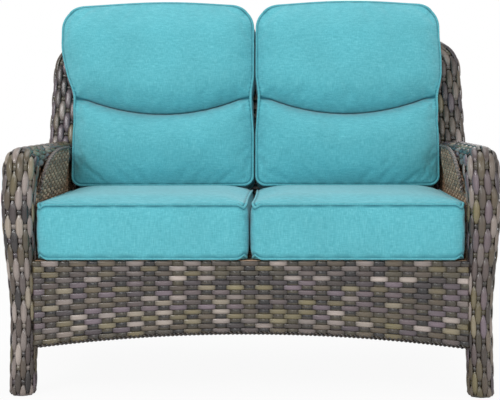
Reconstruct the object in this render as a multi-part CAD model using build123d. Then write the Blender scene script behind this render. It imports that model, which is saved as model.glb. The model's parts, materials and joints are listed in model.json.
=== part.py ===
from build123d import *
import math
import os

os.makedirs("parts", exist_ok=True)

# A two-seat patio loveseat: woven resin skins over a welded and bolted tube frame,
# with two loose seat cushions and two loose back cushions.
# Millimetres. +Z is up, the front faces -Y, and the origin is on the floor under the middle.

# The whole seat
overallWidth = 1270.0
overallDepth = 745.0
armHeight = 640.0
backFrameHeight = 952.0
deckHeight = 352.0
sideBuild = 85.0
reclineAngle = 12.5
rearReach = 145.0
kneeHeight = 360.0
overrun = 40.0

# Woven skins
skinWall = 4.0
panelWall = 4.0
deckWall = 5.0
skinClearance = 0.5

# Arms and front legs
armWidth = 94.0
armThickness = 56.0
armShoulderRadius = 34.0
armUnderRadius = 9.0
armBendRadius = 66.0
legWidth = 67.0
legWaistHeight = 200.0
legTaperTop = 500.0
footSplay = 7.0
legShoulderRadius = 25.0

# Back hoop and rear legs
hoopThickness = 58.0
hoopEdgeRadius = 24.0
hoopTopTaper = 15.0
hoopCornerRadius = 66.0
hoopInnerRadius = 30.0
topRailWidth = 82.0
rearLegRadius = 20.0
rearFootDepth = 58.0

# Side panels and aprons
apronSetback = 10.0
apronTopDrop = 2.0
skirtEndHeight = 126.0
skirtRise = 31.0
sideSkirtRise = 22.0
backPanelInset = 8.0
outerPanelInset = 7.0

# Bent tube
tubeRadius = 11.0
tubeWall = 1.5
tubeDepth = 25.0
armTubeSpread = 24.0
armTubeShift = 2.0
legTubeSpread = 16.0
waistBendRadius = 260.0
kneeBendRadius = 120.0
outerHoopRadius = 46.0
innerHoopRadius = 50.0
rungRadius = 6.0
rodRadius = 6.0
rodLift = 10.0
rodClearance = 1.0
lowerRailRadius = 8.0
lowerRailHeight = 168.0
uprightRadius = 8.0
uprightSpacing = 380.0

# Rails of the seat
railHeight = 30.0
railWidth = 20.0
railWall = 1.5
armRailWidth = 24.0
railGap = 5.0
crossRailSpacing = 270.0

# Feet
glideRadius = 20.0
glideHeight = 4.0
glideEdge = 1.5
glideStemRadius = 4.0
glideStemLength = 10.0
footPlateThickness = 4.0

# Bolted joints
boltRadius = 4.0
boltHeadRadius = 7.5
boltHeadHeight = 5.0
socketRadius = 2.6
socketDepth = 3.0
shortBoltLength = 41.0
holeClearance = 0.3
threadClearance = 0.05
washerRadius = 9.5
washerThickness = 1.6
nutRadius = 7.0
nutLength = 6.0
spacerRadius = 9.0
sleeveRadius = 8.0
plateThickness = 4.0
plateHeight = 28.0
plateClearance = 1.6
capRadius = 11.0
capHeight = 3.0
sideBoltInset = 130.0
rearBoltSpacing = 400.0

# Seat cushions
seatCushionHeight = 142.0
seatCushionSetback = 8.0
seatMiddleGap = 5.0
seatSideGap = 6.0
seatRearRoom = 70.0
seatCrown = 14.0
seatCornerRadius = 26.0
seatDrawIn = 3.0
seatBulge = 2.0
softClearance = 0.6

# Back cushions, with a headrest above a sewn crease
backCushionHeight = 558.0
backCushionBottom = 493.0
backMiddleGap = 6.0
backSideGap = 5.0
headExtra = 40.0
backBoxing = 78.0
lowerRise = 58.0
headRise = 70.0
creaseHeight = 276.0
creaseSmile = 54.0
creaseGap = 5.0
backTopRadius = 74.0
backBottomRadius = 30.0
creaseEndRadius = 16.0
backSwell = 3.0
pinchDepth = 9.0
topArch = 8.0
lobeInset = 1.5

# Sewing and filling of the cushions
pipingRadius = 4.0
fillInset = 16.0
fillGap = 30.0
zipWidth = 9.0
zipDepth = 2.0
zipMargin = 55.0
sliderLength = 14.0
sliderThickness = 2.0

# How a padded face rises from its seam, as shares of its reach and of its rise
crownInsetShares = (0.0, 0.07, 0.24, 0.52, 1.0)
crownRiseShares = (0.0, 0.36, 0.65, 0.88, 1.0)
crownReachShare = 0.36
cornerGrowShare = 0.45
cornerLimitShare = 0.36
bowFadeShare = 0.6

# Worked-out places
frontY = -overallDepth / 2
panelX = overallWidth / 2 - sideBuild
postFaceDepth = overallDepth - rearReach
armCentreX = overallWidth / 2 - armWidth / 2
armInnerX = overallWidth / 2 - armWidth
seatCushionWidth = panelX - seatMiddleGap - seatSideGap
seatCushionDepth = postFaceDepth - seatCushionSetback - seatRearRoom
backCushionWidth = armInnerX - backMiddleGap - backSideGap
bendStart = armHeight - armBendRadius
tanRecline = math.tan(math.radians(reclineAngle))
cosRecline = math.cos(math.radians(reclineAngle))
sinRecline = math.sin(math.radians(reclineAngle))
faceY = frontY + postFaceDepth
backPlane = Plane(
    origin=(0, faceY, armHeight), x_dir=(1, 0, 0), z_dir=(0, -cosRecline, sinRecline)
)
skirtTop = deckHeight - apronTopDrop
rearFootY = overallDepth / 2 - rearFootDepth / 2
kneeY = faceY + (kneeHeight - armHeight) * tanRecline + hoopThickness / cosRecline / 2
railTop = deckHeight - deckWall
railMid = railTop - railHeight / 2
plateTop = glideHeight + skinWall + footPlateThickness
hoopTop = (backFrameHeight - armHeight) / cosRecline
tubeHigh = armHeight - tubeDepth
armTubeX = armCentreX + armTubeShift
armPlateY = faceY - (tubeDepth + plateHeight / 2) * tanRecline - plateThickness - skinClearance
deckEdgeY = faceY + (railTop - armHeight) * tanRecline + backPanelInset / cosRecline


def save(shape, name):
    # Writes one sub-part and says how large it is.
    export_step(shape, "parts/" + name + ".step")
    print(name, len(shape.solids()), round(shape.volume))


def group(shapes):
    # Separate solids that share one name.
    return Compound(children=[solid for shape in shapes for solid in shape.solids()])


def mirrored(shape):
    # The left copy of a piece made on the right.
    return mirror(shape, about=Plane.YZ)


def bothSides(shapes):
    # The pieces of the right side with their left copies.
    return list(shapes) + [mirrored(shape) for shape in shapes]


def share(low, high, part):
    # The place a given part of the way from low to high.
    return low + (high - low) * part


def eased(value, low, high):
    # From 0 to 1 as a value goes from low to high, level at both ends.
    part = min(max((value - low) / (high - low), 0), 1)
    return part * part * (3 - 2 * part)


def largest(shape):
    # The main solid of a cut shape, without its offcuts.
    return max(shape.solids(), key=lambda solid: solid.volume)


def nearest(face, x, y):
    # The corner of a flat outline nearest to a point.
    return min(face.vertices(), key=lambda v: math.hypot(v.X - x, v.Y - y))


def block(xs, ys, zs):
    # A box between two places on each axis.
    size = [high - low for low, high in (xs, ys, zs)]
    middle = [(high + low) / 2 for low, high in (xs, ys, zs)]
    return Pos(*middle) * Box(*size)


def rod(radius, start, end):
    # A plain round bar between two points.
    along = Vector(*end) - Vector(*start)
    return extrude(Plane(origin=start, z_dir=along) * Circle(radius), along.length)


# Forms of the arms, posts and legs


def section(x, y, width, depth, frontRadius, rearRadius):
    # A rounded section: one radius on its front corners, another on its rear ones.
    face = Pos(x, y) * Rectangle(width, depth)
    face = fillet(face.vertices().group_by(Axis.Y)[0], frontRadius)
    return fillet(face.vertices().group_by(Axis.Y)[-1], rearRadius)


def legEdges(height):
    # The inner and outer faces of a front leg, which widens up to the arm.
    splay = footSplay * max(1 - height / legWaistHeight, 0)
    inner = share(panelX, armInnerX, eased(height, legTaperTop, bendStart)) + splay
    outer = panelX + legWidth + splay
    outer += (overallWidth / 2 - panelX - legWidth) * eased(height, legWaistHeight, legTaperTop)
    return inner, outer


def armForm(inset):
    # The right front leg, its bend and the arm as one filled form, drawn in by an inset.
    depth = armThickness - 2 * inset
    middleY = frontY + armThickness / 2
    heights = [glideHeight + inset]
    heights += [share(legWaistHeight, legTaperTop, part / 4) for part in range(5)]
    heights.append(bendStart)
    rings = []
    for height in heights:
        inner, outer = legEdges(height)
        grown = eased(height, legTaperTop, bendStart)
        shoulder = share(legShoulderRadius, armShoulderRadius, grown) - inset
        middleX = (inner + outer) / 2
        ring = section(
            middleX, middleY, outer - inner - 2 * inset, depth, shoulder, armUnderRadius - inset
        )
        rings.append(Pos(0, 0, height) * ring)
    leg = loft(rings[:2], ruled=True) + loft(rings[1:])
    hinge = Axis((0, frontY + armBendRadius, bendStart), (-1, 0, 0))
    bend = revolve(rings[-1], hinge, 90)
    armPlane = Plane(
        origin=(0, frontY + armBendRadius, armHeight - armThickness / 2),
        x_dir=(1, 0, 0),
        z_dir=(0, 1, 0),
    )
    shoulder = armShoulderRadius - inset
    end = section(armCentreX, 0, armWidth - 2 * inset, depth, shoulder, armUnderRadius - inset)
    arm = extrude(armPlane * end, postFaceDepth - armBendRadius + hoopThickness / 2)
    return leg + bend + arm


def hoopForm(inset):
    # Both posts and the top rail as one filled hoop in the reclined plane, drawn in by an inset.
    low = (kneeHeight - armHeight) / cosRecline - overrun * 2
    wide = overallWidth / 2 - inset
    slim = wide - hoopTopTaper
    inWide = armInnerX + inset
    inSlim = inWide - hoopTopTaper
    top = hoopTop - inset
    inTop = hoopTop - topRailWidth + inset
    right = [(wide, low), (wide, 0), (slim, top)]
    left = [(-x, y) for x, y in reversed(right)]
    inRight = [(inWide, low), (inWide, 0), (inSlim, inTop)]
    inLeft = [(-x, y) for x, y in reversed(inRight)]
    face = make_face(Polyline(*right, *left, close=True))
    face -= make_face(Polyline(*inRight, *inLeft, close=True))
    face = fillet([nearest(face, x, top) for x in (-slim, slim)], hoopCornerRadius - inset)
    face = fillet([nearest(face, x, inTop) for x in (-inSlim, inSlim)], hoopInnerRadius + inset)
    solid = extrude(Pos(0, 0, inset - hoopThickness) * face, hoopThickness - 2 * inset)
    flats = solid.faces().sort_by(Axis.Z)
    solid = fillet(flats[0].edges() + flats[-1].edges(), hoopEdgeRadius - inset)
    below = block(
        (-overallWidth, overallWidth), (-overallDepth, overallDepth), (-overrun, kneeHeight)
    )
    return backPlane.location * solid - below


def rearLegMiddle(height):
    # Where the middle of a rear leg is, going back and out towards its foot.
    part = (height - glideHeight) / (kneeHeight - glideHeight)
    footX = panelX + legWidth / 2 + footSplay
    return share(footX, armCentreX, part), share(rearFootY, kneeY, part)


def hoopTubeSpread(height):
    # How far each tube of a rear leg is from the middle of that leg, below the knee.
    low = plateTop - tubeRadius
    return share(legTubeSpread, armTubeSpread, (height - low) / (kneeHeight - low))


def rearLegForm(inset):
    # The right rear leg below its knee, as one filled form.
    rings = []
    sizes = [(glideHeight + inset, legWidth, rearFootDepth, rearLegRadius)]
    sizes.append((kneeHeight, armWidth, hoopThickness / cosRecline, hoopEdgeRadius))
    for height, width, depth, radius in sizes:
        x, y = rearLegMiddle(height)
        ring = section(x, y, width - 2 * inset, depth - 2 * inset, radius - inset, radius - inset)
        rings.append(Pos(0, 0, height) * ring)
    return loft(rings, ruled=True)


armSolid = armForm(0)
hoopSolid = hoopForm(0)
rearLegSolid = rearLegForm(0)


# Bent tubes of the frame


def pipe(points, radii, radius, wall=0):
    # A round tube, or a filled one with no wall, along straight runs and bends.
    path = FilletPolyline(*points, radius=radii)
    ring = Circle(radius)
    if wall:
        ring -= Circle(radius - wall)
    return sweep(Plane(origin=path @ 0, z_dir=path % 0) * ring, path=path)


def footed(tube):
    # A tube cut off level on top of its foot plate.
    reach = (-overallWidth, overallWidth)
    return tube - block(reach, reach, (-overrun, plateTop))


def armTubeAt(height, side):
    # Where one of the two tubes of the right arm is, below the arm.
    part = max((height - legWaistHeight) / (tubeHigh - legWaistHeight), 0)
    waist = panelX + legWidth / 2
    splay = footSplay * max(1 - height / legWaistHeight, 0)
    middle = share(waist, armTubeX, part) + splay
    return middle + side * share(legTubeSpread, armTubeSpread, part)


def armTube(side, wall):
    # One tube of the right arm: foot, waist, bend and level arm.
    y = frontY + tubeDepth
    heights = (plateTop - tubeRadius, legWaistHeight, tubeHigh)
    places = [(armTubeAt(height, side), y, height) for height in heights]
    places.append((armTubeX + side * armTubeSpread, armPlateY, tubeHigh))
    return footed(pipe(places, [waistBendRadius, armBendRadius - tubeDepth], tubeRadius, wall))


def hoopPoint(x, up, back):
    # A point across, up the recline and behind the posts' front face.
    return tuple(backPlane.from_local_coords(Vector(x, up, -back)))


def hoopTube(side, cornerRadius, wall):
    # One tube of the back hoop: right foot, knee, top corners, knee, left foot.
    edge = armWidth / 2 - armTubeSpread
    wide = overallWidth / 2 - edge if side > 0 else armInnerX + edge
    top = hoopTop - edge if side > 0 else hoopTop - topRailWidth + edge
    footX, footY = rearLegMiddle(plateTop - tubeRadius)
    foot = (footX + side * legTubeSpread, footY, plateTop - tubeRadius)
    knee = (armCentreX + side * armTubeSpread, kneeY, kneeHeight)
    level = hoopPoint(wide, 0, hoopThickness / 2)
    right = [foot, knee, level, hoopPoint(wide - hoopTopTaper, top, hoopThickness / 2)]
    left = [(-x, y, z) for x, y, z in reversed(right)]
    radii = [kneeBendRadius, waistBendRadius, cornerRadius]
    return footed(pipe(right + left, radii + radii[::-1], tubeRadius, wall))


armTubes = [armTube(side, tubeWall) for side in (-1, 1)]
armCores = [armTube(side, 0) for side in (-1, 1)]
outerHoop = hoopTube(1, outerHoopRadius, tubeWall)
innerHoop = hoopTube(-1, innerHoopRadius, tubeWall)
hoopCores = [hoopTube(1, outerHoopRadius, 0), hoopTube(-1, innerHoopRadius, 0)]


def coped(shape, cores):
    # A bar with its ends cut to seat against round tubes, without the offcuts.
    for core in cores:
        shape -= core
    return largest(shape)


def armRungs():
    # Short bars between the two tubes of the right arm.
    bars = []
    y = frontY + tubeDepth
    for height in (share(plateTop, legWaistHeight, 0.5), share(legWaistHeight, tubeHigh, 0.6)):
        ends = [(armTubeAt(height, side), y, height) for side in (-1, 1)]
        bars.append(rod(rungRadius, *ends))
    for part in (0.2, 0.5, 0.8):
        place = share(frontY + armBendRadius, armPlateY, part)
        ends = [(armTubeX + side * armTubeSpread, place, tubeHigh) for side in (-1, 1)]
        bars.append(rod(rungRadius, *ends))
    return [coped(bar, armCores) for bar in bars]


def hoopRungs():
    # Short bars between the two tubes of the back hoop, two in a post and three in the top rail.
    bars = []
    edge = armWidth / 2 - armTubeSpread
    middle = hoopThickness / 2
    for part in (-0.5, 0.4):
        up = hoopTop * part
        taper = hoopTopTaper * max(part, 0)
        places = (armInnerX + edge - taper, overallWidth / 2 - edge - taper)
        ends = [hoopPoint(x, up, middle) for x in places]
        bars += bothSides([rod(rungRadius, *ends)])
    for part in (-0.5, 0, 0.5):
        x = armInnerX * part
        ends = [hoopPoint(x, up, middle) for up in (hoopTop - topRailWidth + edge, hoopTop - edge)]
        bars.append(rod(rungRadius, *ends))
    return [coped(bar, hoopCores) for bar in bars]


def lowerSideRail():
    # The round rail low down between a front leg and a rear leg.
    x, y = rearLegMiddle(lowerRailHeight)
    start = (panelX + legWidth / 2, frontY + tubeDepth, lowerRailHeight)
    bar = rod(lowerRailRadius, start, (x, y, lowerRailHeight))
    return coped(bar, armCores + hoopCores)


def hollowRail(xs, ys, zs, along):
    # A rectangular tube that runs along X or along Y.
    outside = block(xs, ys, zs)
    inside = [list(span) for span in (xs, ys, zs)]
    for axis, span in enumerate(inside):
        grow = overrun if axis == along else -railWall
        inside[axis] = (span[0] - grow, span[1] + grow)
    return outside - block(*inside)


railSpan = (railTop - railHeight, railTop)
frontRailY = frontY + apronSetback + panelWall + 2 * rodRadius
rearRailY = deckEdgeY - railWidth
lowerRailY = deckEdgeY + railGap
sideRailX = panelX - railGap
armRailX = panelX + panelWall


def armSeatRail():
    # The right arm's own rail at seat height, between its legs.
    span = (frontY + tubeDepth, lowerRailY)
    return coped(hollowRail((armRailX, armRailX + armRailWidth), span, railSpan, 1), armCores)


def backLowerRail():
    # The rail across the foot of the back, into both rear legs.
    reach = armRailX + armRailWidth
    ys = (lowerRailY, lowerRailY + armRailWidth)
    return coped(hollowRail((-reach, reach), ys, railSpan, 0), hoopCores)


def uprights():
    # Two bars behind the back panel, from the lower rail up to the inner hoop.
    back = backPanelInset + panelWall + uprightRadius + skinClearance
    high = hoopTop - topRailWidth + armWidth / 2 - armTubeSpread
    top = hoopPoint(uprightSpacing / 2, high, back)
    low = hoopPoint(uprightSpacing / 2, (railTop - armHeight - overrun) / cosRecline, back)
    bar = coped(rod(uprightRadius, low, top), hoopCores)
    below = block((0, overallWidth), (-overallDepth, overallDepth), (0, railTop))
    return bothSides([bar - below])


def archRod(y, reach):
    # A rod that follows the arched lower edge of an apron, up to the inner tubes of both legs.
    low = skirtEndHeight + rodLift
    bend = (reach * reach + skirtRise * skirtRise) / (2 * skirtRise)
    middle = low + skirtRise - bend
    half = math.degrees(math.asin(reach / bend))
    ring = Plane(origin=(0, y, low + skirtRise), x_dir=(0, 1, 0), z_dir=(1, 0, 0)) * Circle(rodRadius)
    return revolve(ring, Axis((0, y, middle), (0, 1, 0)), half * 2).rotate(
        Axis((0, y, middle), (0, 1, 0)), -half
    )


rungs = armRungs()
backRungs = hoopRungs()
sideLowRail = lowerSideRail()
armRail = armSeatRail()
lowRail = backLowerRail()
backBars = uprights()
rodReach = armTubeAt(skirtEndHeight + rodLift, -1) - tubeRadius - rodClearance
frontRod = archRod(frontY + apronSetback + panelWall + rodRadius, rodReach)
rearX, rearY = rearLegMiddle(skirtEndHeight + rodLift)
rearSpread = hoopTubeSpread(skirtEndHeight + rodLift)
rearRod = archRod(rearY, rearX - rearSpread - tubeRadius - rodClearance)
frontRail = hollowRail((-sideRailX, sideRailX), (frontRailY, frontRailY + railWidth), railSpan, 0)
rearRail = hollowRail((-sideRailX, sideRailX), (rearRailY, deckEdgeY), railSpan, 0)
innerSpan = (frontRailY + railWidth, rearRailY)
sideRail = hollowRail((sideRailX - railWidth, sideRailX), innerSpan, railSpan, 1)
crossRails = []
for step in (-1, 0, 1):
    middle = step * crossRailSpacing
    crossSpan = (middle - railWidth / 2, middle + railWidth / 2)
    crossRails.append(hollowRail(crossSpan, innerSpan, railSpan, 1))


# Woven panels


def rearInside(height):
    # Just inside the front of the post or rear leg at a height.
    if height > kneeHeight:
        return faceY + (height - armHeight) * tanRecline + hoopEdgeRadius / 2
    depth = hoopThickness / cosRecline
    return rearLegMiddle(height)[1] - depth / 2 + hoopEdgeRadius / 2


def sidePanel(x):
    # A woven panel between the legs under the right arm, with an arched lower edge.
    front = frontY + armThickness - armUnderRadius / 2
    top = armHeight - armThickness + armUnderRadius
    low = skirtEndHeight
    corner = (rearInside(low), low)
    knee = (rearInside(kneeHeight), kneeHeight)
    edges = [Line((front, low), (front, top)), Line((front, top), (rearInside(top), top))]
    edges += [Line((rearInside(top), top), knee), Line(knee, corner)]
    crest = ((front + corner[0]) / 2, low + sideSkirtRise)
    edges.append(ThreePointArc(corner, crest, (front, low)))
    plane = Plane(origin=(x, 0, 0), x_dir=(0, 1, 0), z_dir=(1, 0, 0))
    panel = extrude(plane * make_face(edges), panelWall)
    return panel - armSolid - hoopSolid - rearLegSolid


def apron(plane, reach, high, low, forms):
    # A woven apron between two legs, with an arched lower edge.
    edges = [Line((-reach, low), (-reach, high)), Line((-reach, high), (reach, high))]
    edges += [Line((reach, high), (reach, low))]
    edges.append(ThreePointArc((reach, low), (0, low + skirtRise), (-reach, low)))
    panel = extrude(plane * make_face(edges), panelWall)
    for form in bothSides(forms):
        panel -= form
    return panel


frontPlane = Plane(
    origin=(0, frontY + apronSetback + panelWall, 0), x_dir=(1, 0, 0), z_dir=(0, -1, 0)
)
frontApron = apron(frontPlane, panelX + legWidth / 4, skirtTop, skirtEndHeight, [armSolid])

# The rear apron follows the slope of the rear legs, under the back's lower rail.
legSlope = (rearFootY - kneeY) / (kneeHeight - glideHeight)
legLean = math.atan(legSlope)
rearPlane = Plane(
    origin=(0, lowerRailY + armRailWidth / 2, railSpan[0]),
    x_dir=(1, 0, 0),
    z_dir=(0, -math.cos(legLean), -math.sin(legLean)),
)
rearLow = (skirtEndHeight - railSpan[0]) / math.cos(legLean)
rearApron = apron(rearPlane, panelX + hoopEdgeRadius / 2, 0, rearLow, [rearLegSolid])
rearApron -= block(
    (-overallWidth, overallWidth), (-overallDepth, overallDepth), (railSpan[0], armHeight)
)

deck = block(
    (-panelX, panelX), (frontY + apronSetback + panelWall, deckEdgeY), (railTop, deckHeight)
)
for form in bothSides([armSolid, rearLegSolid]):
    deck -= form


def backPanelForm():
    # The woven panel inside the back hoop, down to the seat's lower rail.
    reach = armInnerX + hoopEdgeRadius / 2
    slim = reach - hoopTopTaper
    high = hoopTop - topRailWidth + hoopEdgeRadius / 2
    low = (railTop - armHeight) / cosRecline
    outline = [(-reach, low), (reach, low), (reach, 0), (slim, high), (-slim, high), (-reach, 0)]
    face = Pos(0, 0, -backPanelInset - panelWall) * make_face(Polyline(*outline, close=True))
    panel = backPlane.location * extrude(face, panelWall)
    reach = (-overallWidth, overallWidth)
    panel -= block(reach, reach, (0, railTop))
    return panel - hoopSolid - rearLegSolid - mirrored(rearLegSolid) - deck


backPanel = backPanelForm()
innerPanel = sidePanel(panelX) - backPanel - lowRail
for panel in bothSides([innerPanel]):
    rearApron -= panel
rearApron = largest(rearApron)
outerPanel = sidePanel(panelX + legWidth - outerPanelInset - panelWall)


# Bolts and what they clamp. Each is made upright at the origin, with its head at the top.


def bolt(length):
    # A socket-head bolt whose head seats at z = 0 and whose shank points down.
    shank = Pos(0, 0, -length / 2) * Cylinder(boltRadius, length)
    head = Pos(0, 0, boltHeadHeight / 2) * Cylinder(boltHeadRadius, boltHeadHeight)
    floor = Pos(0, 0, boltHeadHeight - socketDepth)
    return shank + head - extrude(floor * RegularPolygon(socketRadius, 6), socketDepth)


def ringPiece(radius, hole, length):
    # A round piece with a hole, from z = 0 down.
    piece = Cylinder(radius, length) - Cylinder(hole, length)
    return Pos(0, 0, -length / 2) * piece


def placed(shape, point, direction):
    # A piece turned so that its head faces a direction.
    return Plane(origin=point, z_dir=direction).location * shape


boltHole = boltRadius + holeClearance
nutHole = boltRadius + threadClearance
sidePoints = []
for y in (frontY + sideBoltInset, deckEdgeY - sideBoltInset):
    sidePoints.append((sideRailX - railWidth, y, railMid))
rearPoint = (rearBoltSpacing / 2, rearRailY, railMid)
armPoint = (armCentreX, 0, tubeHigh)
inward = (-1, 0, 0)
forward = (0, -1, 0)
backward = (0, 1, 0)

# The post plate stands upright behind the hoop's tubes, at the height of the arm's tubes.
tubeBackY = faceY - tubeDepth * tanRecline + (hoopThickness / 2 + tubeRadius) / cosRecline
postPlateY = tubeBackY + plateHeight / 2 * tanRecline
plateReach = armTubeSpread + tubeRadius / 2
plateZ = (tubeHigh - plateHeight / 2, tubeHigh + plateHeight / 2)
armPlate = block(
    (armTubeX - plateReach, armTubeX + plateReach), (armPlateY, armPlateY + plateThickness), plateZ
)
postPlate = block(
    (armCentreX - plateReach, armCentreX + plateReach),
    (tubeBackY - plateHeight / 2 * tanRecline, postPlateY + plateThickness),
    plateZ,
)
postPlate = coped(postPlate, hoopCores)
postSeat = (armCentreX, postPlateY + plateThickness, tubeHigh)
longLength = postSeat[1] - armPlateY + washerThickness + nutLength + boltRadius / 2


shortBolt = bolt(shortBoltLength)
longBolt = bolt(longLength)
washer = ringPiece(washerRadius, boltHole, washerThickness)
nut = ringPiece(nutRadius, nutHole, nutLength)
spacer = ringPiece(spacerRadius, boltHole, railGap)
shortDrill = Pos(0, 0, -overrun / 2) * Cylinder(boltHole, overrun)
sleeveLength = postPlateY - armPlateY - plateThickness
sleeve = ringPiece(sleeveRadius, boltHole, sleeveLength)
longDrill = Pos(0, 0, -longLength / 2) * Cylinder(boltHole, longLength + overrun / 2)
capRise = (Align.CENTER, Align.CENTER, Align.MIN)
capHole = Cylinder(washerRadius + skinClearance, 2 * overrun, align=capRise)

lifted = Pos(0, 0, washerThickness)
shortBolts = []
washers = []
nuts = []
spacers = []
drills = []
for point in sidePoints:
    nutPoint = (armRailX + railWall, point[1], point[2])
    shortBolts.append(placed(lifted * shortBolt, point, inward))
    washers.append(placed(lifted * washer, point, inward))
    nuts.append(placed(nut, nutPoint, inward))
    spacers.append(placed(spacer, (sideRailX, point[1], point[2]), inward))
    drills.append(placed(shortDrill, point, inward))
shortBolts.append(placed(lifted * shortBolt, rearPoint, forward))
washers.append(placed(lifted * washer, rearPoint, forward))
nuts.append(placed(nut, (rearPoint[0], lowerRailY + railWall, railMid), forward))
spacers.append(placed(spacer, (rearPoint[0], deckEdgeY, railMid), forward))
drills.append(placed(shortDrill, rearPoint, forward))
longBolts = [placed(lifted * longBolt, postSeat, backward)]
washers.append(placed(lifted * washer, postSeat, backward))
nuts.append(placed(nut, (armCentreX, armPlateY, tubeHigh), backward))
sleevePiece = placed(sleeve, (armCentreX, postPlateY, tubeHigh), backward)
longHole = placed(longDrill, postSeat, backward)
sleeveHole = placed(
    Pos(0, 0, -sleeveLength / 2) * Cylinder(sleeveRadius + holeClearance, sleeveLength + overrun),
    (armCentreX, postPlateY, tubeHigh),
    backward,
)
armPlate -= longHole
postPlate = postPlate - longHole - sleevePiece
drills = bothSides(drills)


def drilled(shape, tools):
    # A piece less its bolt holes and whatever passes through it.
    for tool in tools:
        shape -= tool
    return shape


# The cap closes the bolt's hole in the back of the post.
capSeat = (armCentreX, faceY - tubeDepth * tanRecline + hoopThickness / cosRecline, tubeHigh)
capFace = (0, cosRecline, -sinRecline)
capDisc = Cylinder(capRadius, capHeight, align=capRise)
capDisc = fillet(capDisc.edges().sort_by(Axis.Z)[-1], capHeight / 3)
capPlug = Cylinder(washerRadius, skinWall / 2, align=(Align.CENTER, Align.CENTER, Align.MAX))
boltCap = placed(capDisc + capPlug, capSeat, capFace)
capOpening = placed(Pos(0, 0, -skinWall * 2) * capHole, capSeat, capFace)


# Feet


def footPlate(x, y, width, depth, frontRadius, rearRadius):
    # A steel plate that closes the tubes' ends inside a foot.
    inset = skinWall + plateClearance
    ring = section(
        x, y, width - 2 * inset, depth - 2 * inset, frontRadius - inset, rearRadius - inset
    )
    plate = extrude(Pos(0, 0, plateTop - footPlateThickness) * ring, footPlateThickness)
    return plate - Pos(x, y, plateTop) * Cylinder(glideStemRadius + holeClearance, overrun)


def glide(x, y):
    # A plastic glide with a stem that goes up through the skin into the plate.
    base = Cylinder(glideRadius, glideHeight, align=(Align.CENTER, Align.CENTER, Align.MIN))
    base = fillet(base.edges().sort_by(Axis.Z)[0], glideEdge)
    stem = Pos(0, 0, glideHeight + glideStemLength / 2) * Cylinder(glideStemRadius, glideStemLength)
    return Pos(x, y, 0) * (base + stem)


footX = sum(legEdges(glideHeight)) / 2
frontFoot = (footX, frontY + armThickness / 2)
rearFoot = rearLegMiddle(plateTop - footPlateThickness / 2)
footPlates = [
    footPlate(*frontFoot, legWidth, armThickness, legShoulderRadius, armUnderRadius),
    footPlate(*rearFoot, legWidth, rearFootDepth, rearLegRadius, rearLegRadius),
]
glides = [glide(*frontFoot), glide(*rearFoot)]
stemHoles = []
for x, y in (frontFoot, rearFoot):
    stemHoles.append(Pos(x, y, 0) * Cylinder(glideStemRadius + holeClearance, overrun))

# Skins with their holes
armBand = armSolid - armForm(skinWall) - hoopSolid
armBand = drilled(armBand, [armRail, sideLowRail, stemHoles[0], frontRod])
armBand = largest(drilled(armBand, [armPlate, sleeveHole, backPanel, innerPanel, outerPanel]))
rearLegBand = rearLegSolid - rearLegForm(skinWall)
rearLegBand = drilled(rearLegBand, [armRail, sideLowRail, lowRail, rearRod, stemHoles[1]])
rearLegBand = largest(rearLegBand)
hoopBand = hoopSolid - hoopForm(skinWall)
hoopTools = [sleeveHole, capOpening]
hoopBand = drilled(hoopBand, bothSides(hoopTools) + backBars)
innerPanel = drilled(innerPanel, drills)
sideRail = drilled(sideRail, drills)
armRail = drilled(armRail, drills)
rearRail = drilled(rearRail, drills)
lowRail = drilled(lowRail, drills)


# Padded forms


def drawnIn(points, inset):
    # The corners of a four-sided outline with every side moved in by an inset.
    moved = []
    count = len(points)
    lines = []
    for i in range(count):
        (x1, y1), (x2, y2) = points[i], points[(i + 1) % count]
        run = math.hypot(x2 - x1, y2 - y1)
        across = (-(y2 - y1) / run, (x2 - x1) / run)
        lines.append((across, across[0] * x1 + across[1] * y1 + inset))
    for i in range(count):
        (a, b), c = lines[i - 1]
        (d, e), f = lines[i]
        det = a * e - b * d
        moved.append(((c * e - b * f) / det, (a * f - c * d) / det))
    return moved


def bowed(start, end, bow):
    # A side that swells outward by a bow, or is drawn in where the bow is negative.
    run = math.hypot(end[0] - start[0], end[1] - start[1])
    out = ((end[1] - start[1]) / run, -(end[0] - start[0]) / run)
    middle = [(start[i] + end[i]) / 2 + out[i] * bow for i in (0, 1)]
    return ThreePointArc(start, tuple(middle), end) if bow else Line(start, end)


def padOutline(points, bows, radii, inset=0):
    # A closed outline of bowed sides and rounded corners, moved in by an inset.
    corners = drawnIn(points, inset) if inset else points
    count = len(corners)
    sides = [bowed(corners[i], corners[(i + 1) % count], bows[i]) for i in range(count)]
    face = make_face(sides)
    shortest = min(math.dist(corners[i - 1], corners[i]) for i in range(count))
    for (x, y), radius in zip(corners, radii):
        face = fillet(nearest(face, x, y), min(radius, shortest * cornerLimitShare))
    return face


def crown(points, bows, radii, reach, rise):
    # A padded face that rises from its seam, as rings that close in towards the middle.
    rings = []
    for insetShare, riseShare in zip(crownInsetShares, crownRiseShares):
        inset = reach * insetShare
        grown = [radius + inset * cornerGrowShare for radius in radii]
        faded = [bow * (1 - insetShare * bowFadeShare) for bow in bows]
        rings.append(Pos(0, 0, rise * riseShare) * padOutline(points, faded, grown, inset))
    return loft(rings)


def welt(outline, height):
    # The piping sewn round an outline.
    path = Pos(0, 0, height) * outline.face().outer_wire()
    start = Plane(origin=path @ 0, z_dir=path % 0)
    return sweep(start * Circle(pipingRadius), path=path)


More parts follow.
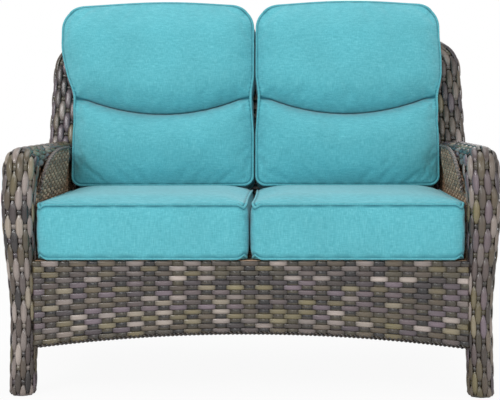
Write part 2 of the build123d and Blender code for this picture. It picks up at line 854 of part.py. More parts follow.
# Seat cushion: made round its own middle, with its underside at z = 0
halfWide = seatCushionWidth / 2
halfDeep = seatCushionDepth / 2
seatCorners = [
    (-halfWide, -halfDeep),
    (halfWide, -halfDeep),
    (halfWide, halfDeep),
    (-halfWide, halfDeep),
]
seatBows = [-seatDrawIn] * 4
seatRadii = [seatCornerRadius] * 4
seatOutline = padOutline(seatCorners, seatBows, seatRadii)
seatMiddle = padOutline(seatCorners, seatBows, seatRadii, -seatBulge)
boxingRings = [seatOutline, Pos(0, 0, seatCushionHeight / 2) * seatMiddle]
boxingRings.append(Pos(0, 0, seatCushionHeight) * seatOutline)
seatPad = loft(boxingRings)
seatPad += Pos(0, 0, seatCushionHeight) * crown(
    seatCorners, seatBows, seatRadii, seatCushionDepth * crownReachShare, seatCrown
)
seatWelts = [welt(seatOutline, pipingRadius), welt(seatOutline, seatCushionHeight)]
seatFill = block(
    (fillInset - halfWide, halfWide - fillInset),
    (fillInset - halfDeep, halfDeep - fillInset),
    (fillInset, seatCushionHeight - fillInset),
)
seatZipLength = seatCushionWidth - 2 * zipMargin - 2 * seatCornerRadius
zipFace = halfDeep - seatDrawIn
seatZip = block(
    (-seatZipLength / 2, seatZipLength / 2),
    (zipFace - zipDepth * 2, zipFace - zipDepth),
    ((seatCushionHeight - zipWidth) / 2, (seatCushionHeight + zipWidth) / 2),
)
seatSlider = Pos(seatZipLength / 2 - sliderLength, zipFace - zipDepth + sliderThickness / 2, 0) * Pos(
    0, 0, seatCushionHeight / 2
) * Box(sliderLength, sliderThickness, zipWidth / 2)
seatSlot = block(
    (-seatZipLength / 2, seatZipLength / 2),
    (zipFace - zipDepth * 2, zipFace + overrun),
    ((seatCushionHeight - zipWidth) / 2, (seatCushionHeight + zipWidth) / 2),
)
seatCover = drilled(seatPad, seatWelts + [seatFill, seatSlot])

# Back cushion: flat on its rear at z = 0, its lower edge at y = 0, the outer side towards +X
halfBack = backCushionWidth / 2
pinchOut = halfBack - pinchDepth
topOut = halfBack + headExtra
creaseLow = creaseHeight - creaseGap / 2
creaseHigh = creaseHeight + creaseGap / 2
lowerCorners = [(-halfBack, 0), (halfBack, 0), (pinchOut, creaseLow), (-pinchOut, creaseLow)]
lowerBows = [0, backSwell, -creaseSmile, backSwell]
lowerRadii = [backBottomRadius, backBottomRadius, creaseEndRadius, creaseEndRadius]
headCorners = [
    (-pinchOut, creaseHigh),
    (pinchOut, creaseHigh),
    (topOut, backCushionHeight),
    (-halfBack, backCushionHeight),
]
headBows = [creaseSmile, backSwell, topArch, backSwell]
headRadii = [creaseEndRadius, creaseEndRadius, backTopRadius, backTopRadius]
backCorners = [
    (-halfBack, 0),
    (halfBack, 0),
    (pinchOut, creaseHeight),
    (topOut, backCushionHeight),
    (-halfBack, backCushionHeight),
    (-pinchOut, creaseHeight),
]
backBows = [0, backSwell, backSwell, topArch, backSwell, backSwell]
backRadii = [
    backBottomRadius,
    backBottomRadius,
    creaseEndRadius,
    backTopRadius,
    backTopRadius,
    creaseEndRadius,
]
backOutline = padOutline(backCorners, backBows, backRadii)
lowerReach = (creaseHeight - creaseSmile) * crownReachShare
headReach = (backCushionHeight - creaseHeight) * crownReachShare
lowerLobe = crown(
    drawnIn(lowerCorners, lobeInset), lowerBows, lowerRadii, lowerReach, lowerRise
)
headLobe = crown(drawnIn(headCorners, lobeInset), headBows, headRadii, headReach, headRise)
backPad = extrude(backOutline, backBoxing)
backPad += Pos(0, 0, backBoxing) * lowerLobe
backPad += Pos(0, 0, backBoxing) * headLobe
backWelts = [welt(backOutline, pipingRadius), welt(backOutline, backBoxing)]
fillSide = halfBack - 2 * fillInset
fillTop = backBoxing + lowerRise / 4
lowerFill = block(
    (-fillSide, fillSide),
    (2 * fillInset, creaseHeight - creaseSmile - fillGap),
    (fillInset, fillTop),
)
headFill = block(
    (-fillSide, fillSide),
    (creaseHeight + fillGap, backCushionHeight - 2 * fillInset),
    (fillInset, fillTop),
)
backZipLength = backCushionWidth - 2 * zipMargin - 2 * backBottomRadius
zipSpan = ((backBoxing - zipWidth) / 2, (backBoxing + zipWidth) / 2)
backZip = block((-backZipLength / 2, backZipLength / 2), (zipDepth / 2, zipDepth * 3 / 2), zipSpan)
backSlider = Pos(backZipLength / 2 - sliderLength, zipDepth / 4, backBoxing / 2) * Box(
    sliderLength, zipDepth / 2, zipWidth / 2
)
backSlot = block((-backZipLength / 2, backZipLength / 2), (-overrun, zipDepth * 3 / 2), zipSpan)
backCover = drilled(backPad, backWelts + [lowerFill, headFill, backSlot])

# Where the right cushions lie
seatPlace = Pos(
    seatMiddleGap + halfWide,
    frontY + seatCushionSetback + halfDeep,
    deckHeight + softClearance,
)
backUp = (backCushionBottom - armHeight) / cosRecline
backPlace = backPlane.location * Pos(backMiddleGap + halfBack, backUp, softClearance)

save(armBand, "right_arm_band")
save(mirrored(armBand), "left_arm_band")
save(rearLegBand, "right_rear_leg_band")
save(mirrored(rearLegBand), "left_rear_leg_band")
save(hoopBand, "back_hoop_band")
save(innerPanel, "right_inner_panel")
save(mirrored(innerPanel), "left_inner_panel")
save(outerPanel, "right_outer_panel")
save(mirrored(outerPanel), "left_outer_panel")
save(frontApron, "front_apron")
save(rearApron, "rear_apron")
save(deck, "seat_deck")
save(backPanel, "back_panel")
for name, tube in (("inner", armTubes[0]), ("outer", armTubes[1])):
    save(tube, "right_arm_" + name + "_tube")
    save(mirrored(tube), "left_arm_" + name + "_tube")
save(group(bothSides(rungs)), "arm_rungs")
save(outerHoop, "back_outer_hoop")
save(innerHoop, "back_inner_hoop")
save(group(backRungs), "back_hoop_rungs")
save(group(backBars), "back_uprights")
save(lowRail, "back_lower_rail")
save(group(bothSides([sideLowRail])), "lower_side_rails")
save(group(bothSides([armRail])), "arm_seat_rails")
save(frontRail, "seat_front_rail")
save(rearRail, "seat_rear_rail")
save(group(bothSides([sideRail])), "seat_side_rails")
save(group(crossRails), "seat_cross_rails")
save(frontRod, "front_arch_rod")
save(rearRod, "rear_arch_rod")
save(group(bothSides([armPlate])), "arm_end_plates")
save(group(bothSides([postPlate])), "post_plates")
save(group(bothSides([sleevePiece])), "post_sleeves")
save(group(bothSides(shortBolts)), "short_bolts")
save(group(bothSides(longBolts)), "long_bolts")
save(group(bothSides(washers)), "washers")
save(group(bothSides(nuts)), "nuts")
save(group(bothSides(spacers)), "spacers")
save(group(bothSides([boltCap])), "bolt_caps")
save(group(bothSides(footPlates)), "foot_plates")
save(group(bothSides(glides)), "foot_glides")
cushionParts = [
    ("seat_cover", seatPlace * seatCover),
    ("seat_foam", seatPlace * seatFill),
    ("seat_piping", seatPlace * group(seatWelts)),
    ("seat_zip", seatPlace * group([seatZip, seatSlider])),
    ("back_cover", backPlace * backCover),
    ("back_filling", backPlace * group([lowerFill, headFill])),
    ("back_piping", backPlace * group(backWelts)),
    ("back_zip", backPlace * group([backZip, backSlider])),
]
for name, piece in cushionParts:
    save(piece, "right_" + name)
    save(mirrored(piece), "left_" + name)
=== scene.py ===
import bpy
import bmesh
import json
import math
import random
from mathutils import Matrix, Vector
from mathutils.kdtree import KDTree


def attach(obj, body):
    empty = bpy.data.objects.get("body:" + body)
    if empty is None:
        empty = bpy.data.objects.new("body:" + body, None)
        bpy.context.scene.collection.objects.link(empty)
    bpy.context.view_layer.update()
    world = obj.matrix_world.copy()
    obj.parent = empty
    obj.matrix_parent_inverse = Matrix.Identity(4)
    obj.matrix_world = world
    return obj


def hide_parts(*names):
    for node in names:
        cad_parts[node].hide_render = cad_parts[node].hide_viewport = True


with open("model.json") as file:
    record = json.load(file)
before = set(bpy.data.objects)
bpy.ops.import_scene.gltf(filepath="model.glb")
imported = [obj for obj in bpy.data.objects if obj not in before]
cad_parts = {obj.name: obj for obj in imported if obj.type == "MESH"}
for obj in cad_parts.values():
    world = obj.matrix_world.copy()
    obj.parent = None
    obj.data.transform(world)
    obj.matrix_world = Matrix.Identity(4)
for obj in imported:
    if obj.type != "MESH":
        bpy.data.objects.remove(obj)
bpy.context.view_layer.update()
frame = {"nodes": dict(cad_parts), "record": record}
nodes = frame["nodes"]

# Sizes that the frame shares, in metres
seat = {
    "halfWidth": 0.635, "frontY": -0.3725, "armHeight": 0.640, "backHeight": 0.952,
    "panelX": 0.550, "faceY": 0.2275, "recline": math.radians(12.5),
    "glide": 0.0015, "kneeHeight": 0.360,
}
arm = {
    "width": 0.094, "thickness": 0.056, "shoulder": 0.046, "under": 0.009, "bend": 0.066,
    "legWidth": 0.067, "legShoulder": 0.025, "waist": 0.200, "taperTop": 0.500, "splay": 0.007,
    "tuck": 0.004, "tuckHeight": 0.006, "bendSteps": 13, "lap": 0.004,
}
hoop = {
    "thickness": 0.058, "edge": 0.024, "taper": 0.015, "corner": 0.056, "topRail": 0.082,
    "legRadius": 0.020, "footDepth": 0.058, "drawIn": 0.003, "bendSteps": 12,
}
upAxis = Vector((0, math.sin(seat["recline"]), math.cos(seat["recline"])))
outAxis = Vector((0, -math.cos(seat["recline"]), math.sin(seat["recline"])))
backOrigin = Vector((0, seat["faceY"], seat["armHeight"]))
sideAxis = Vector((1, 0, 0))
rearAxis = Vector((0, 1, 0))


def backPoint(x, up, out):
    # A place across, up the recline and in front of the posts
    return backOrigin + sideAxis * x + upAxis * up + outAxis * out


def ease(value, low, high):
    part = min(max((value - low) / (high - low), 0), 1)
    return part * part * (3 - 2 * part)


def srgb(red, green, blue):
    # A colour as it looks on screen, 0 to 255
    def channel(value):
        value = value / 255
        return value / 12.92 if value <= 0.04045 else ((value + 0.055) / 1.055) ** 2.4
    return (channel(red), channel(green), channel(blue), 1)


def addObject(name, data):
    made = bpy.data.objects.new(name, data)
    bpy.context.scene.collection.objects.link(made)
    return made


# Camera at the photo's place: angles in degrees, focal length and picture width in pixels
view = {
    "place": (0.10, -3.2325, 0.733), "down": 4.525, "roll": 0.25, "turn": 1.93,
    "sensor": 36, "focal": 1141, "picture": 500,
}
camera = addObject("camera", bpy.data.cameras.new("camera"))
camera.location = view["place"]
camera.rotation_euler = [math.radians(angle) for angle in (90 - view["down"], view["roll"], view["turn"])]
camera.data.sensor_width = view["sensor"]
camera.data.lens = view["sensor"] * view["focal"] / view["picture"]
bpy.context.scene.camera = camera
print("camera set")


# Materials

def newMaterial(name):
    made = bpy.data.materials.new(name)
    made.use_nodes = True
    tree = made.node_tree
    return made, tree, tree.nodes["Principled BSDF"]


def addNode(tree, kind, **values):
    node = tree.nodes.new("ShaderNode" + kind)
    for key, value in values.items():
        if hasattr(node, key):
            setattr(node, key, value)
        else:
            node.inputs[key.replace("_", " ")].default_value = value
    return node


def rampColour(tree, source, stops):
    # A value turned into a colour
    node = addNode(tree, "ValToRGB")
    while len(node.color_ramp.elements) < len(stops):
        node.color_ramp.elements.new(0.5)
    for element, (place, colour) in zip(node.color_ramp.elements, stops):
        element.position = place
        element.color = colour
    tree.links.new(source, node.inputs["Fac"])
    return node.outputs["Color"]


def scaledNoise(tree, source, scale, size, detail=2):
    # Noise on coordinates that are stretched by their own scale
    mapping = addNode(tree, "Mapping")
    mapping.inputs["Scale"].default_value = scale
    tree.links.new(source, mapping.inputs["Vector"])
    grain = addNode(tree, "TexNoise", Scale=size, Detail=detail)
    tree.links.new(mapping.outputs["Vector"], grain.inputs["Vector"])
    return grain.outputs["Fac"]


def mixColours(tree, mode, share, first, second):
    mix = tree.nodes.new("ShaderNodeMix")
    mix.data_type = "RGBA"
    mix.blend_type = mode
    for value, socket in ((share, mix.inputs[0]), (first, mix.inputs[6]), (second, mix.inputs[7])):
        if isinstance(value, bpy.types.NodeSocket):
            tree.links.new(value, socket)
        else:
            socket.default_value = value
    return mix.outputs[2]


def addBump(tree, shader, height, distance, strength=1.0):
    bump = addNode(tree, "Bump", Strength=strength, Distance=distance)
    tree.links.new(height, bump.inputs["Height"])
    tree.links.new(bump.outputs["Normal"], shader.inputs["Normal"])


# Each strand takes a tone along its look's list; streaks and drift are noise laid along the strand
wickerLook = {
    "tones": [(30, 25, 25), (92, 84, 58), (60, 50, 50), (128, 119, 115), (76, 66, 50), (40, 33, 35),
              (98, 86, 96), (66, 56, 50), (102, 95, 66), (150, 141, 137), (50, 42, 42)],
    # Roughness and gloss, then how far the painted highlight lifts a strand's colour
    "roughness": (0.20, 0.36), "gloss": 0.9, "paintedHighlight": (1.40, 1.38, 1.37, 1),
}
fineLook = {
    "tones": [(188, 150, 122), (144, 114, 92), (204, 166, 138), (164, 130, 104), (122, 96, 78),
              (196, 160, 132)],
    # Roughness and gloss, then how far the painted highlight lifts a strand's colour
    "roughness": (0.36, 0.5), "gloss": 0.5, "paintedHighlight": (1.15, 1.15, 1.15, 1),
}
strandGrain = {
    "streaks": (14, 26, 1), "streakDetail": 3, "streakShare": 0.8, "drift": (5, 1.3, 1), "driftDetail": 1,
    "streakStops": [(0.3, (0.72, 0.72, 0.72, 1)), (0.7, (1.2, 1.18, 1.15, 1))],
    "driftStops": [(0.25, (0.8, 0.79, 0.78, 1)), (0.75, (1.22, 1.2, 1.16, 1))],
    # dark is how far painted shade darkens a strand; depth and strength set the grain's bump
    "dark": (0.16, 0.15, 0.15, 1), "depth": 0.0006, "strength": 0.5,
}


def wickerMaterial(name, look):
    # Resin strip: each strand has its own tone and fine drawn lines, with painted shade where it tucks under
    # and along its edges, and a painted highlight where it lies on top
    made, tree, shader = newMaterial(name)
    tone = addNode(tree, "Attribute", attribute_name="tone")
    count = len(look["tones"])
    stops = [((i + 0.5) / count, srgb(*colour)) for i, colour in enumerate(look["tones"])]
    colour = rampColour(tree, tone.outputs["Fac"], stops)
    uv = addNode(tree, "UVMap").outputs["UV"]
    grain = strandGrain
    streaks = scaledNoise(tree, uv, grain["streaks"], 1.0, grain["streakDetail"])
    drift = scaledNoise(tree, uv, grain["drift"], 1.0, grain["driftDetail"])
    streakTone = rampColour(tree, streaks, grain["streakStops"])
    driftTone = rampColour(tree, drift, grain["driftStops"])
    colour = mixColours(tree, "MULTIPLY", grain["streakShare"], colour, streakTone)
    colour = mixColours(tree, "MULTIPLY", 1.0, colour, driftTone)
    # Painted shade and painted highlight, read from the shade attribute
    shade = addNode(tree, "Attribute", attribute_name="shade")
    shadeTone = rampColour(tree, shade.outputs["Fac"], [(0, grain["dark"]), (1, look["paintedHighlight"])])
    colour = mixColours(tree, "MULTIPLY", 1.0, colour, shadeTone)
    tree.links.new(colour, shader.inputs["Base Color"])
    gloss = addNode(tree, "MapRange", To_Min=look["roughness"][0], To_Max=look["roughness"][1])
    tree.links.new(streaks, gloss.inputs["Value"])
    tree.links.new(gloss.outputs["Result"], shader.inputs["Roughness"])
    shader.inputs["Specular IOR Level"].default_value = look["gloss"]
    addBump(tree, shader, streaks, grain["depth"], grain["strength"])
    return made


fabricLook = {
    # Thread tones, then the colour of the painted shade along seams and the crease
    "deep": (74, 160, 172), "mid": (90, 178, 190), "pale": (116, 198, 208), "seam": (34, 108, 122),
    "stops": (0.3, 0.5, 0.72), "across": (60, 60, 520), "along": (520, 520, 60), "threadDetail": 3,
    "cloud": 9, "cloudDetail": 2, "cloudLevels": ((0.3, 0.95), (0.7, 1.04)),
    "depth": 0.0008, "strength": 0.45,
    "values": {"Roughness": 0.85, "Specular IOR Level": 0.25, "Sheen Weight": 0.25, "Sheen Roughness": 0.5},
}


def fabricMaterial(name, shade=1.0):
    # Heathered linen-like cloth: slubs along both thread directions
    made, tree, shader = newMaterial(name)
    place = addNode(tree, "TexCoord").outputs["Object"]
    look = fabricLook
    across = scaledNoise(tree, place, look["across"], 1.0, look["threadDetail"])
    along = scaledNoise(tree, place, look["along"], 1.0, look["threadDetail"])
    cloud = scaledNoise(tree, place, (1, 1, 1), look["cloud"], look["cloudDetail"])
    stops = [(stop, srgb(*look[word])) for stop, word in zip(look["stops"], ("deep", "mid", "pale"))]
    first = rampColour(tree, across, stops)
    second = rampColour(tree, along, stops)
    colour = mixColours(tree, "MIX", 0.5, first, second)
    levels = [(stop, (level * shade,) * 3 + (1,)) for stop, level in look["cloudLevels"]]
    colour = mixColours(tree, "MULTIPLY", 1.0, colour, rampColour(tree, cloud, levels))
    # Painted shade darkens the cloth along the seams and the back cushion's crease
    seam = addNode(tree, "Attribute", attribute_name="seam")
    colour = mixColours(tree, "MIX", seam.outputs["Fac"], colour, srgb(*look["seam"]))
    tree.links.new(colour, shader.inputs["Base Color"])
    threads = addNode(tree, "Math", operation="ADD")
    tree.links.new(across, threads.inputs[0])
    tree.links.new(along, threads.inputs[1])
    for socket, value in look["values"].items():
        shader.inputs[socket].default_value = value
    addBump(tree, shader, threads.outputs[0], look["depth"], look["strength"])
    return made


plainLook = {
    "dark": 0.86, "stops": (0.3, 0.7), "glossier": 0.06, "duller": 0.08, "detail": 3, "strength": 0.4,
}


def plainMaterial(name, colour, roughness, metallic, grain, depth):
    # A moulded or coated finish with a fine grain
    made, tree, shader = newMaterial(name)
    place = addNode(tree, "TexCoord").outputs["Object"]
    look = plainLook
    fine = scaledNoise(tree, place, grain, 1.0, look["detail"])
    dark = [channel * look["dark"] for channel in colour]
    tones = rampColour(tree, fine, list(zip(look["stops"], (srgb(*dark), srgb(*colour)))))
    tree.links.new(tones, shader.inputs["Base Color"])
    shader.inputs["Metallic"].default_value = metallic
    low, high = roughness - look["glossier"], roughness + look["duller"]
    gloss = addNode(tree, "MapRange", To_Min=low, To_Max=high)
    tree.links.new(fine, gloss.inputs["Value"])
    tree.links.new(gloss.outputs["Result"], shader.inputs["Roughness"])
    addBump(tree, shader, fine, depth, look["strength"])
    return made


wicker = wickerMaterial("wicker", wickerLook)
fineWicker = wickerMaterial("fineWicker", fineLook)
fabric = fabricMaterial("cushionFabric")
pipingFabric = fabricMaterial("pipingFabric", 0.9)
steel = plainMaterial("powderCoatedSteel", (58, 50, 47), 0.42, 0.0, (900, 900, 900), 0.0003)
zinc = plainMaterial("zincSteel", (176, 176, 172), 0.34, 1.0, (60, 900, 900), 0.0001)
plastic = plainMaterial("blackPlastic", (38, 37, 37), 0.5, 0.0, (700, 700, 700), 0.0002)
foam = plainMaterial("foam", (226, 218, 190), 0.9, 0.0, (420, 420, 420), 0.001)
zipFinish = plainMaterial("zip", (54, 128, 140), 0.5, 0.0, (300, 900, 60), 0.0006)
# Painted shadow: a dark finish for the CAD nodes in the wicker and fine wicker slots
shadowSkin = plainMaterial("skinShadow", (44, 38, 36), 0.6, 0.0, (200, 200, 200), 0.0005)
finishes = {
    "powder_coated_steel": steel, "zinc_steel": zinc, "black_plastic": plastic, "foam": foam,
    "zip": zipFinish, "wicker": shadowSkin, "fine_wicker": shadowSkin, "cushion_fabric": fabric,
    "piping_fabric": pipingFabric,
}
slotOf = {entry["node"]: entry["material_slot"] for entry in frame["record"]["subparts"]}
for name, node in nodes.items():
    node.data.materials.clear()
    node.data.materials.append(finishes[slotOf[name]])
print("materials made")


# Building blocks for woven pieces

def finishMesh(bm, name, finish):
    mesh = bpy.data.meshes.new(name)
    bm.to_mesh(mesh)
    bm.free()
    made = addObject(name, mesh)
    mesh.materials.append(finish)
    mesh.shade_smooth()
    return made


grainShift = 9  # how far apart the grain of two strands may start
edgeDrop = (1, 0.25, 0, 0.25, 1)  # how much of its crown a strand loses, from edge to edge


class Weave:
    # One mesh of many strands; each strand is a grid laid on a surface, with its own tone
    def __init__(self, seed):
        self.bm = bmesh.new()
        self.tone = self.bm.verts.layers.float.new("tone")
        self.shade = self.bm.verts.layers.float.new("shade")
        self.uv = self.bm.loops.layers.uv.new("UVMap")
        self.random = random.Random(seed)

    def strand(self, across, along, place, tone=None, vary=0.0):
        # place(i, j) gives the point, its distance along the strand, its float's number and its painted shade;
        # a float is a stretch that lies on top, and each has a tone up to vary / 2 off the strand's own
        bm = self.bm
        tone = self.random.random() if tone is None else tone
        floats = {}
        shift = self.random.random() * grainShift
        made = bmesh.ops.create_grid(bm, x_segments=across, y_segments=along, size=1)["verts"]
        lengths = {}
        for vert in made:
            i = round((vert.co.x + 1) / 2 * across)
            j = round((vert.co.y + 1) / 2 * along)
            vert.co, travelled, number, vert[self.shade] = place(i, j)
            if number not in floats:
                floats[number] = min(max(tone + vary * (self.random.random() - 0.5), 0), 1)
            vert[self.tone] = floats[number]
            lengths[vert] = (travelled + shift, i / across + shift)
        for face in {face for vert in made for face in vert.link_faces}:
            for loop in face.loops:
                loop[self.uv].uv = lengths[loop.vert]

    def finish(self, name, finish, slotName, depth, offset=-1):
        made = finishMesh(self.bm, name, finish)
        thick = made.modifiers.new("thickness", "SOLIDIFY")
        thick.thickness = depth
        thick.offset = offset
        return made


def floatHeight(travelled, phase):
    # A strand floats over one cross strand, bowed and wide, then tucks narrow under the next
    look = bandLook
    part = (travelled / look["float"] + phase) % 1
    near = min(part, 1 - part) * look["float"]
    rise = ease(near, 0, look["tuck"])
    bell = math.sin(math.pi * part)
    return -look["dip"] + (look["lift"] + look["dip"]) * rise + look["arch"] * bell, rise, bell


cornerSteps = 6


def stretchAt(gone, distance):
    # Which stretch of a route holds a distance along it, and the share of that stretch
    at = 0
    while at < len(gone) - 2 and gone[at + 1] < distance:
        at += 1
    return at, (distance - gone[at]) / max(gone[at + 1] - gone[at], 1e-9)


def roundedRing(wide, deep, frontRadius, rearRadius, count):
    # Points and outward directions evenly round a section, from the middle of its rear side
    rough = [(0, deep / 2, 0, 1)]
    for sideX, sideY, radius, start in ((-1, 1, rearRadius, 90), (-1, -1, frontRadius, 180),
                                        (1, -1, frontRadius, 270), (1, 1, rearRadius, 0)):
        for step in range(cornerSteps + 1):
            angle = math.radians(start + 90 / cornerSteps * step)
            nx, ny = math.cos(angle), math.sin(angle)
            x, y = sideX * (wide / 2 - radius), sideY * (deep / 2 - radius)
            rough.append((x + radius * nx, y + radius * ny, nx, ny))
    rough.append((0, deep / 2, 0, 1))
    gone = [0]
    for a, b in zip(rough, rough[1:]):
        gone.append(gone[-1] + math.hypot(b[0] - a[0], b[1] - a[1]))
    ring = []
    for step in range(count + 1):
        at, part = stretchAt(gone, gone[-1] * step / count)
        ring.append(tuple(rough[at][k] + (rough[at + 1][k] - rough[at][k]) * part for k in range(4)))
    return ring


def ringStation(centre, across, rear, section, strands):
    # One ring of a sleeve in space, points with outward directions, and its centre
    ring = []
    for x, y, nx, ny in roundedRing(*section, strands * bandLook["fine"]):
        ring.append((centre + across * x + rear * y, (across * nx + rear * ny).normalized()))
    return ring, centre


# A sleeve's ring has "fine" points to a strand; pinch and spread count in them
bandLook = {
    "float": 0.073, "tuck": 0.015, "dip": 0.0036, "lift": 0.0004, "arch": 0.0034, "crown": 0.0022,
    "thickness": 0.0011, "sink": 0.0032, "fine": 24, "pinch": 5.5, "spread": 3, "stagger": 0.05,
    "tones": (0.12, 0.62), "vary": 0.24, "edgeShade": (0.72, 0.96, 1, 0.96, 0.72), "tuckShade": 0.25,
    "endShade": 0.45, "step": 0.1,
    "crossPitch": 0.0365, "crossWidth": 0.0120, "crossTone": 0.12, "crossVary": 0.2, "crossShade": 0.4,
    "crossDip": 0.6, "crossGrain": 0.003,
}
sleeveStep = bandLook["float"] * bandLook["step"]


def wovenSleeve(name, stations, strands, seed):
    # Strands run along a sleeve; narrow cross strands show where they tuck under
    weave = Weave(seed)
    look = bandLook
    fine = look["fine"]
    travelled = [0.0]
    for a, b in zip(stations, stations[1:]):
        travelled.append(travelled[-1] + (b[1] - a[1]).length)
    rings = [ring for ring, centre in stations]
    for k in range(strands):
        phase = 0.5 * (k % 2) + look["stagger"] * weave.random.random()

        def place(i, j):
            height, rise, bell = floatHeight(travelled[j], phase)
            inset = look["pinch"] * (1 - rise) - look["spread"] * rise * bell
            half = fine / 2
            column = round((inset, (inset + half) / 2, half, (half + fine - inset) / 2, fine - inset)[i])
            point, out = rings[j][(k * fine + column) % (strands * fine)]
            height -= look["sink"] + look["crown"] * edgeDrop[i]
            # Painted shade: darkest at the tucks, the float's ends and the strand's edges, with a painted
            # highlight mid-float
            shade = look["tuckShade"] + (1 - look["tuckShade"]) * rise * (
                look["endShade"] + (1 - look["endShade"]) * bell)
            number = math.floor(travelled[j] / look["float"] + phase)
            return point + out * height, travelled[j], number, shade * look["edgeShade"][i]

        tone = look["tones"][0] + look["tones"][1] * weave.random.random()
        weave.strand(4, len(stations) - 1, place, tone, look["vary"])
    # Cross strands run round the sleeve, four steps to a strand
    crossings = int(travelled[-1] / look["crossPitch"])
    for c in range(crossings + 1):
        middle = c * look["crossPitch"]

        def place(i, j):
            distance = min(max(middle + (i - 0.5) * look["crossWidth"], 0), travelled[-1])
            low, part = stretchAt(travelled, distance)
            index = (j * fine // 4) % (strands * fine)
            a, outA = rings[low][index]
            b, outB = rings[low + 1][index]
            strandAt = j / 4 - 0.5
            over = math.cos(math.pi * (strandAt - c))
            height = -look["sink"] - look["dip"] * (look["crossDip"] - (1 - look["crossDip"]) * over)
            point = a.lerp(b, part) + outA.lerp(outB, part) * height
            # A cross strand takes one level of painted shade
            return point, j * look["crossGrain"], j // 8, look["crossShade"]

        weave.strand(1, strands * 4, place, look["crossTone"], look["crossVary"])
    return weave.finish(name, wicker, "wicker", look["thickness"])


# Arms: leg, bend and level arm

bendStart = seat["armHeight"] - arm["bend"]
postX = seat["halfWidth"] - arm["width"] / 2


def legEdges(height):
    # Where the inner and outer side of a front leg lie at a height
    outward = arm["splay"] * max(1 - height / arm["waist"], 0)
    innerArm = seat["halfWidth"] - arm["width"]
    inner = seat["panelX"] + outward
    inner += (innerArm - seat["panelX"]) * ease(height, arm["taperTop"], bendStart)
    outer = seat["panelX"] + arm["legWidth"] + outward
    grown = arm["width"] - arm["legWidth"] - (seat["panelX"] - innerArm)
    outer += grown * ease(height, arm["waist"], arm["taperTop"])
    return inner, outer


def turnedUnder(height):
    # How far a leg's weave is drawn in where it turns under the foot
    return arm["tuck"] * (1 - ease(height, seat["glide"], seat["glide"] + arm["tuckHeight"]))


def armStations(strands):
    # Rings up the leg, round the bend and back along the arm
    down = Vector((0, 0, -1))
    stations = []

    def addRing(centre, back, section):
        stations.append(ringStation(centre, sideAxis, back, section, strands))

    legSteps = round((bendStart - seat["glide"]) / sleeveStep)
    for k in range(legSteps):
        height = seat["glide"] + (bendStart - seat["glide"]) * k / legSteps
        inner, outer = legEdges(height)
        grown = ease(height, arm["taperTop"], bendStart)
        shoulder = arm["legShoulder"] + (arm["shoulder"] - arm["legShoulder"]) * grown
        tuckIn = turnedUnder(height)
        section = (outer - inner - tuckIn * 2, arm["thickness"] - tuckIn * 2, shoulder, arm["under"])
        centre = Vector(((inner + outer) / 2, seat["frontY"] + arm["thickness"] / 2, height))
        addRing(centre, rearAxis, section)
    section = (arm["width"], arm["thickness"], arm["shoulder"], arm["under"])
    hinge = Vector((postX, seat["frontY"] + arm["bend"], bendStart))
    swing = arm["bend"] - arm["thickness"] / 2
    for k in range(arm["bendSteps"]):
        angle = math.pi / 2 * k / arm["bendSteps"]
        back = rearAxis * math.cos(angle) + down * math.sin(angle)
        addRing(hinge - back * swing, back, section)
    length = seat["faceY"] + arm["lap"] - hinge.y
    armSteps = round(length / sleeveStep)
    armZ = seat["armHeight"] - arm["thickness"] / 2
    for k in range(armSteps + 1):
        addRing(Vector((postX, hinge.y + length * k / armSteps, armZ)), down, section)
    return stations


toneStretch, toneShift = 7.31, 0.41


def leftCopy(made, name, replaced=None):
    # The left copy of a right-hand piece, with tones of its own where it stands for a CAD node
    copy = made.copy()
    copy.data = made.data.copy()
    copy.name = name
    bpy.context.scene.collection.objects.link(copy)
    bm = bmesh.new()
    bm.from_mesh(copy.data)
    for vert in bm.verts:
        vert.co.x = -vert.co.x
    bmesh.ops.reverse_faces(bm, faces=bm.faces[:])
    if replaced:
        layer = bm.verts.layers.float["tone"]
        for vert in bm.verts:
            vert[layer] = (vert[layer] * toneStretch + toneShift) % 1
    bm.to_mesh(copy.data)
    bm.free()
    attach(copy, "frame")
    if replaced:
        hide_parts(replaced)


armStrands = 16
rightArm = wovenSleeve("rightArmWeave", armStations(armStrands), armStrands, 11)
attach(rightArm, "frame")
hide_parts("right_arm_band")
leftCopy(rightArm, "leftArmWeave", "left_arm_band")
print("arms woven")


# Rear legs and the back hoop

cosine = math.cos(seat["recline"])


def rearLegStations(strands):
    # Rings from the foot up to the knee, where the leg meets the reclined post
    kneeY = seat["faceY"] + (seat["kneeHeight"] - seat["armHeight"]) * math.tan(seat["recline"])
    kneeY += hoop["thickness"] / cosine / 2
    footX = seat["panelX"] + arm["legWidth"] / 2 + arm["splay"]
    foot = Vector((footX, -seat["frontY"] - hoop["footDepth"] / 2, seat["glide"]))
    knee = Vector((postX, kneeY, seat["kneeHeight"]))
    count = round((knee - foot).length / sleeveStep)
    stations = []
    for k in range(count + 1):
        part = k / count
        centre = foot.lerp(knee, part)
        wide = arm["legWidth"] + (arm["width"] - arm["legWidth"]) * part
        deep = hoop["footDepth"] + (hoop["thickness"] / cosine - hoop["footDepth"]) * part
        tuckIn = turnedUnder(centre.z)
        radius = hoop["legRadius"] + (hoop["edge"] - hoop["legRadius"]) * part
        section = (wide - 2 * tuckIn, deep - 2 * tuckIn, radius, radius)
        stations.append(ringStation(centre, sideAxis, rearAxis, section, strands))
    return stations


legStrands = 14
rightLeg = wovenSleeve("rightRearLegWeave", rearLegStations(legStrands), legStrands, 23)
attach(rightLeg, "frame")
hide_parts("right_rear_leg_band")
leftCopy(rightLeg, "leftRearLegWeave", "left_rear_leg_band")


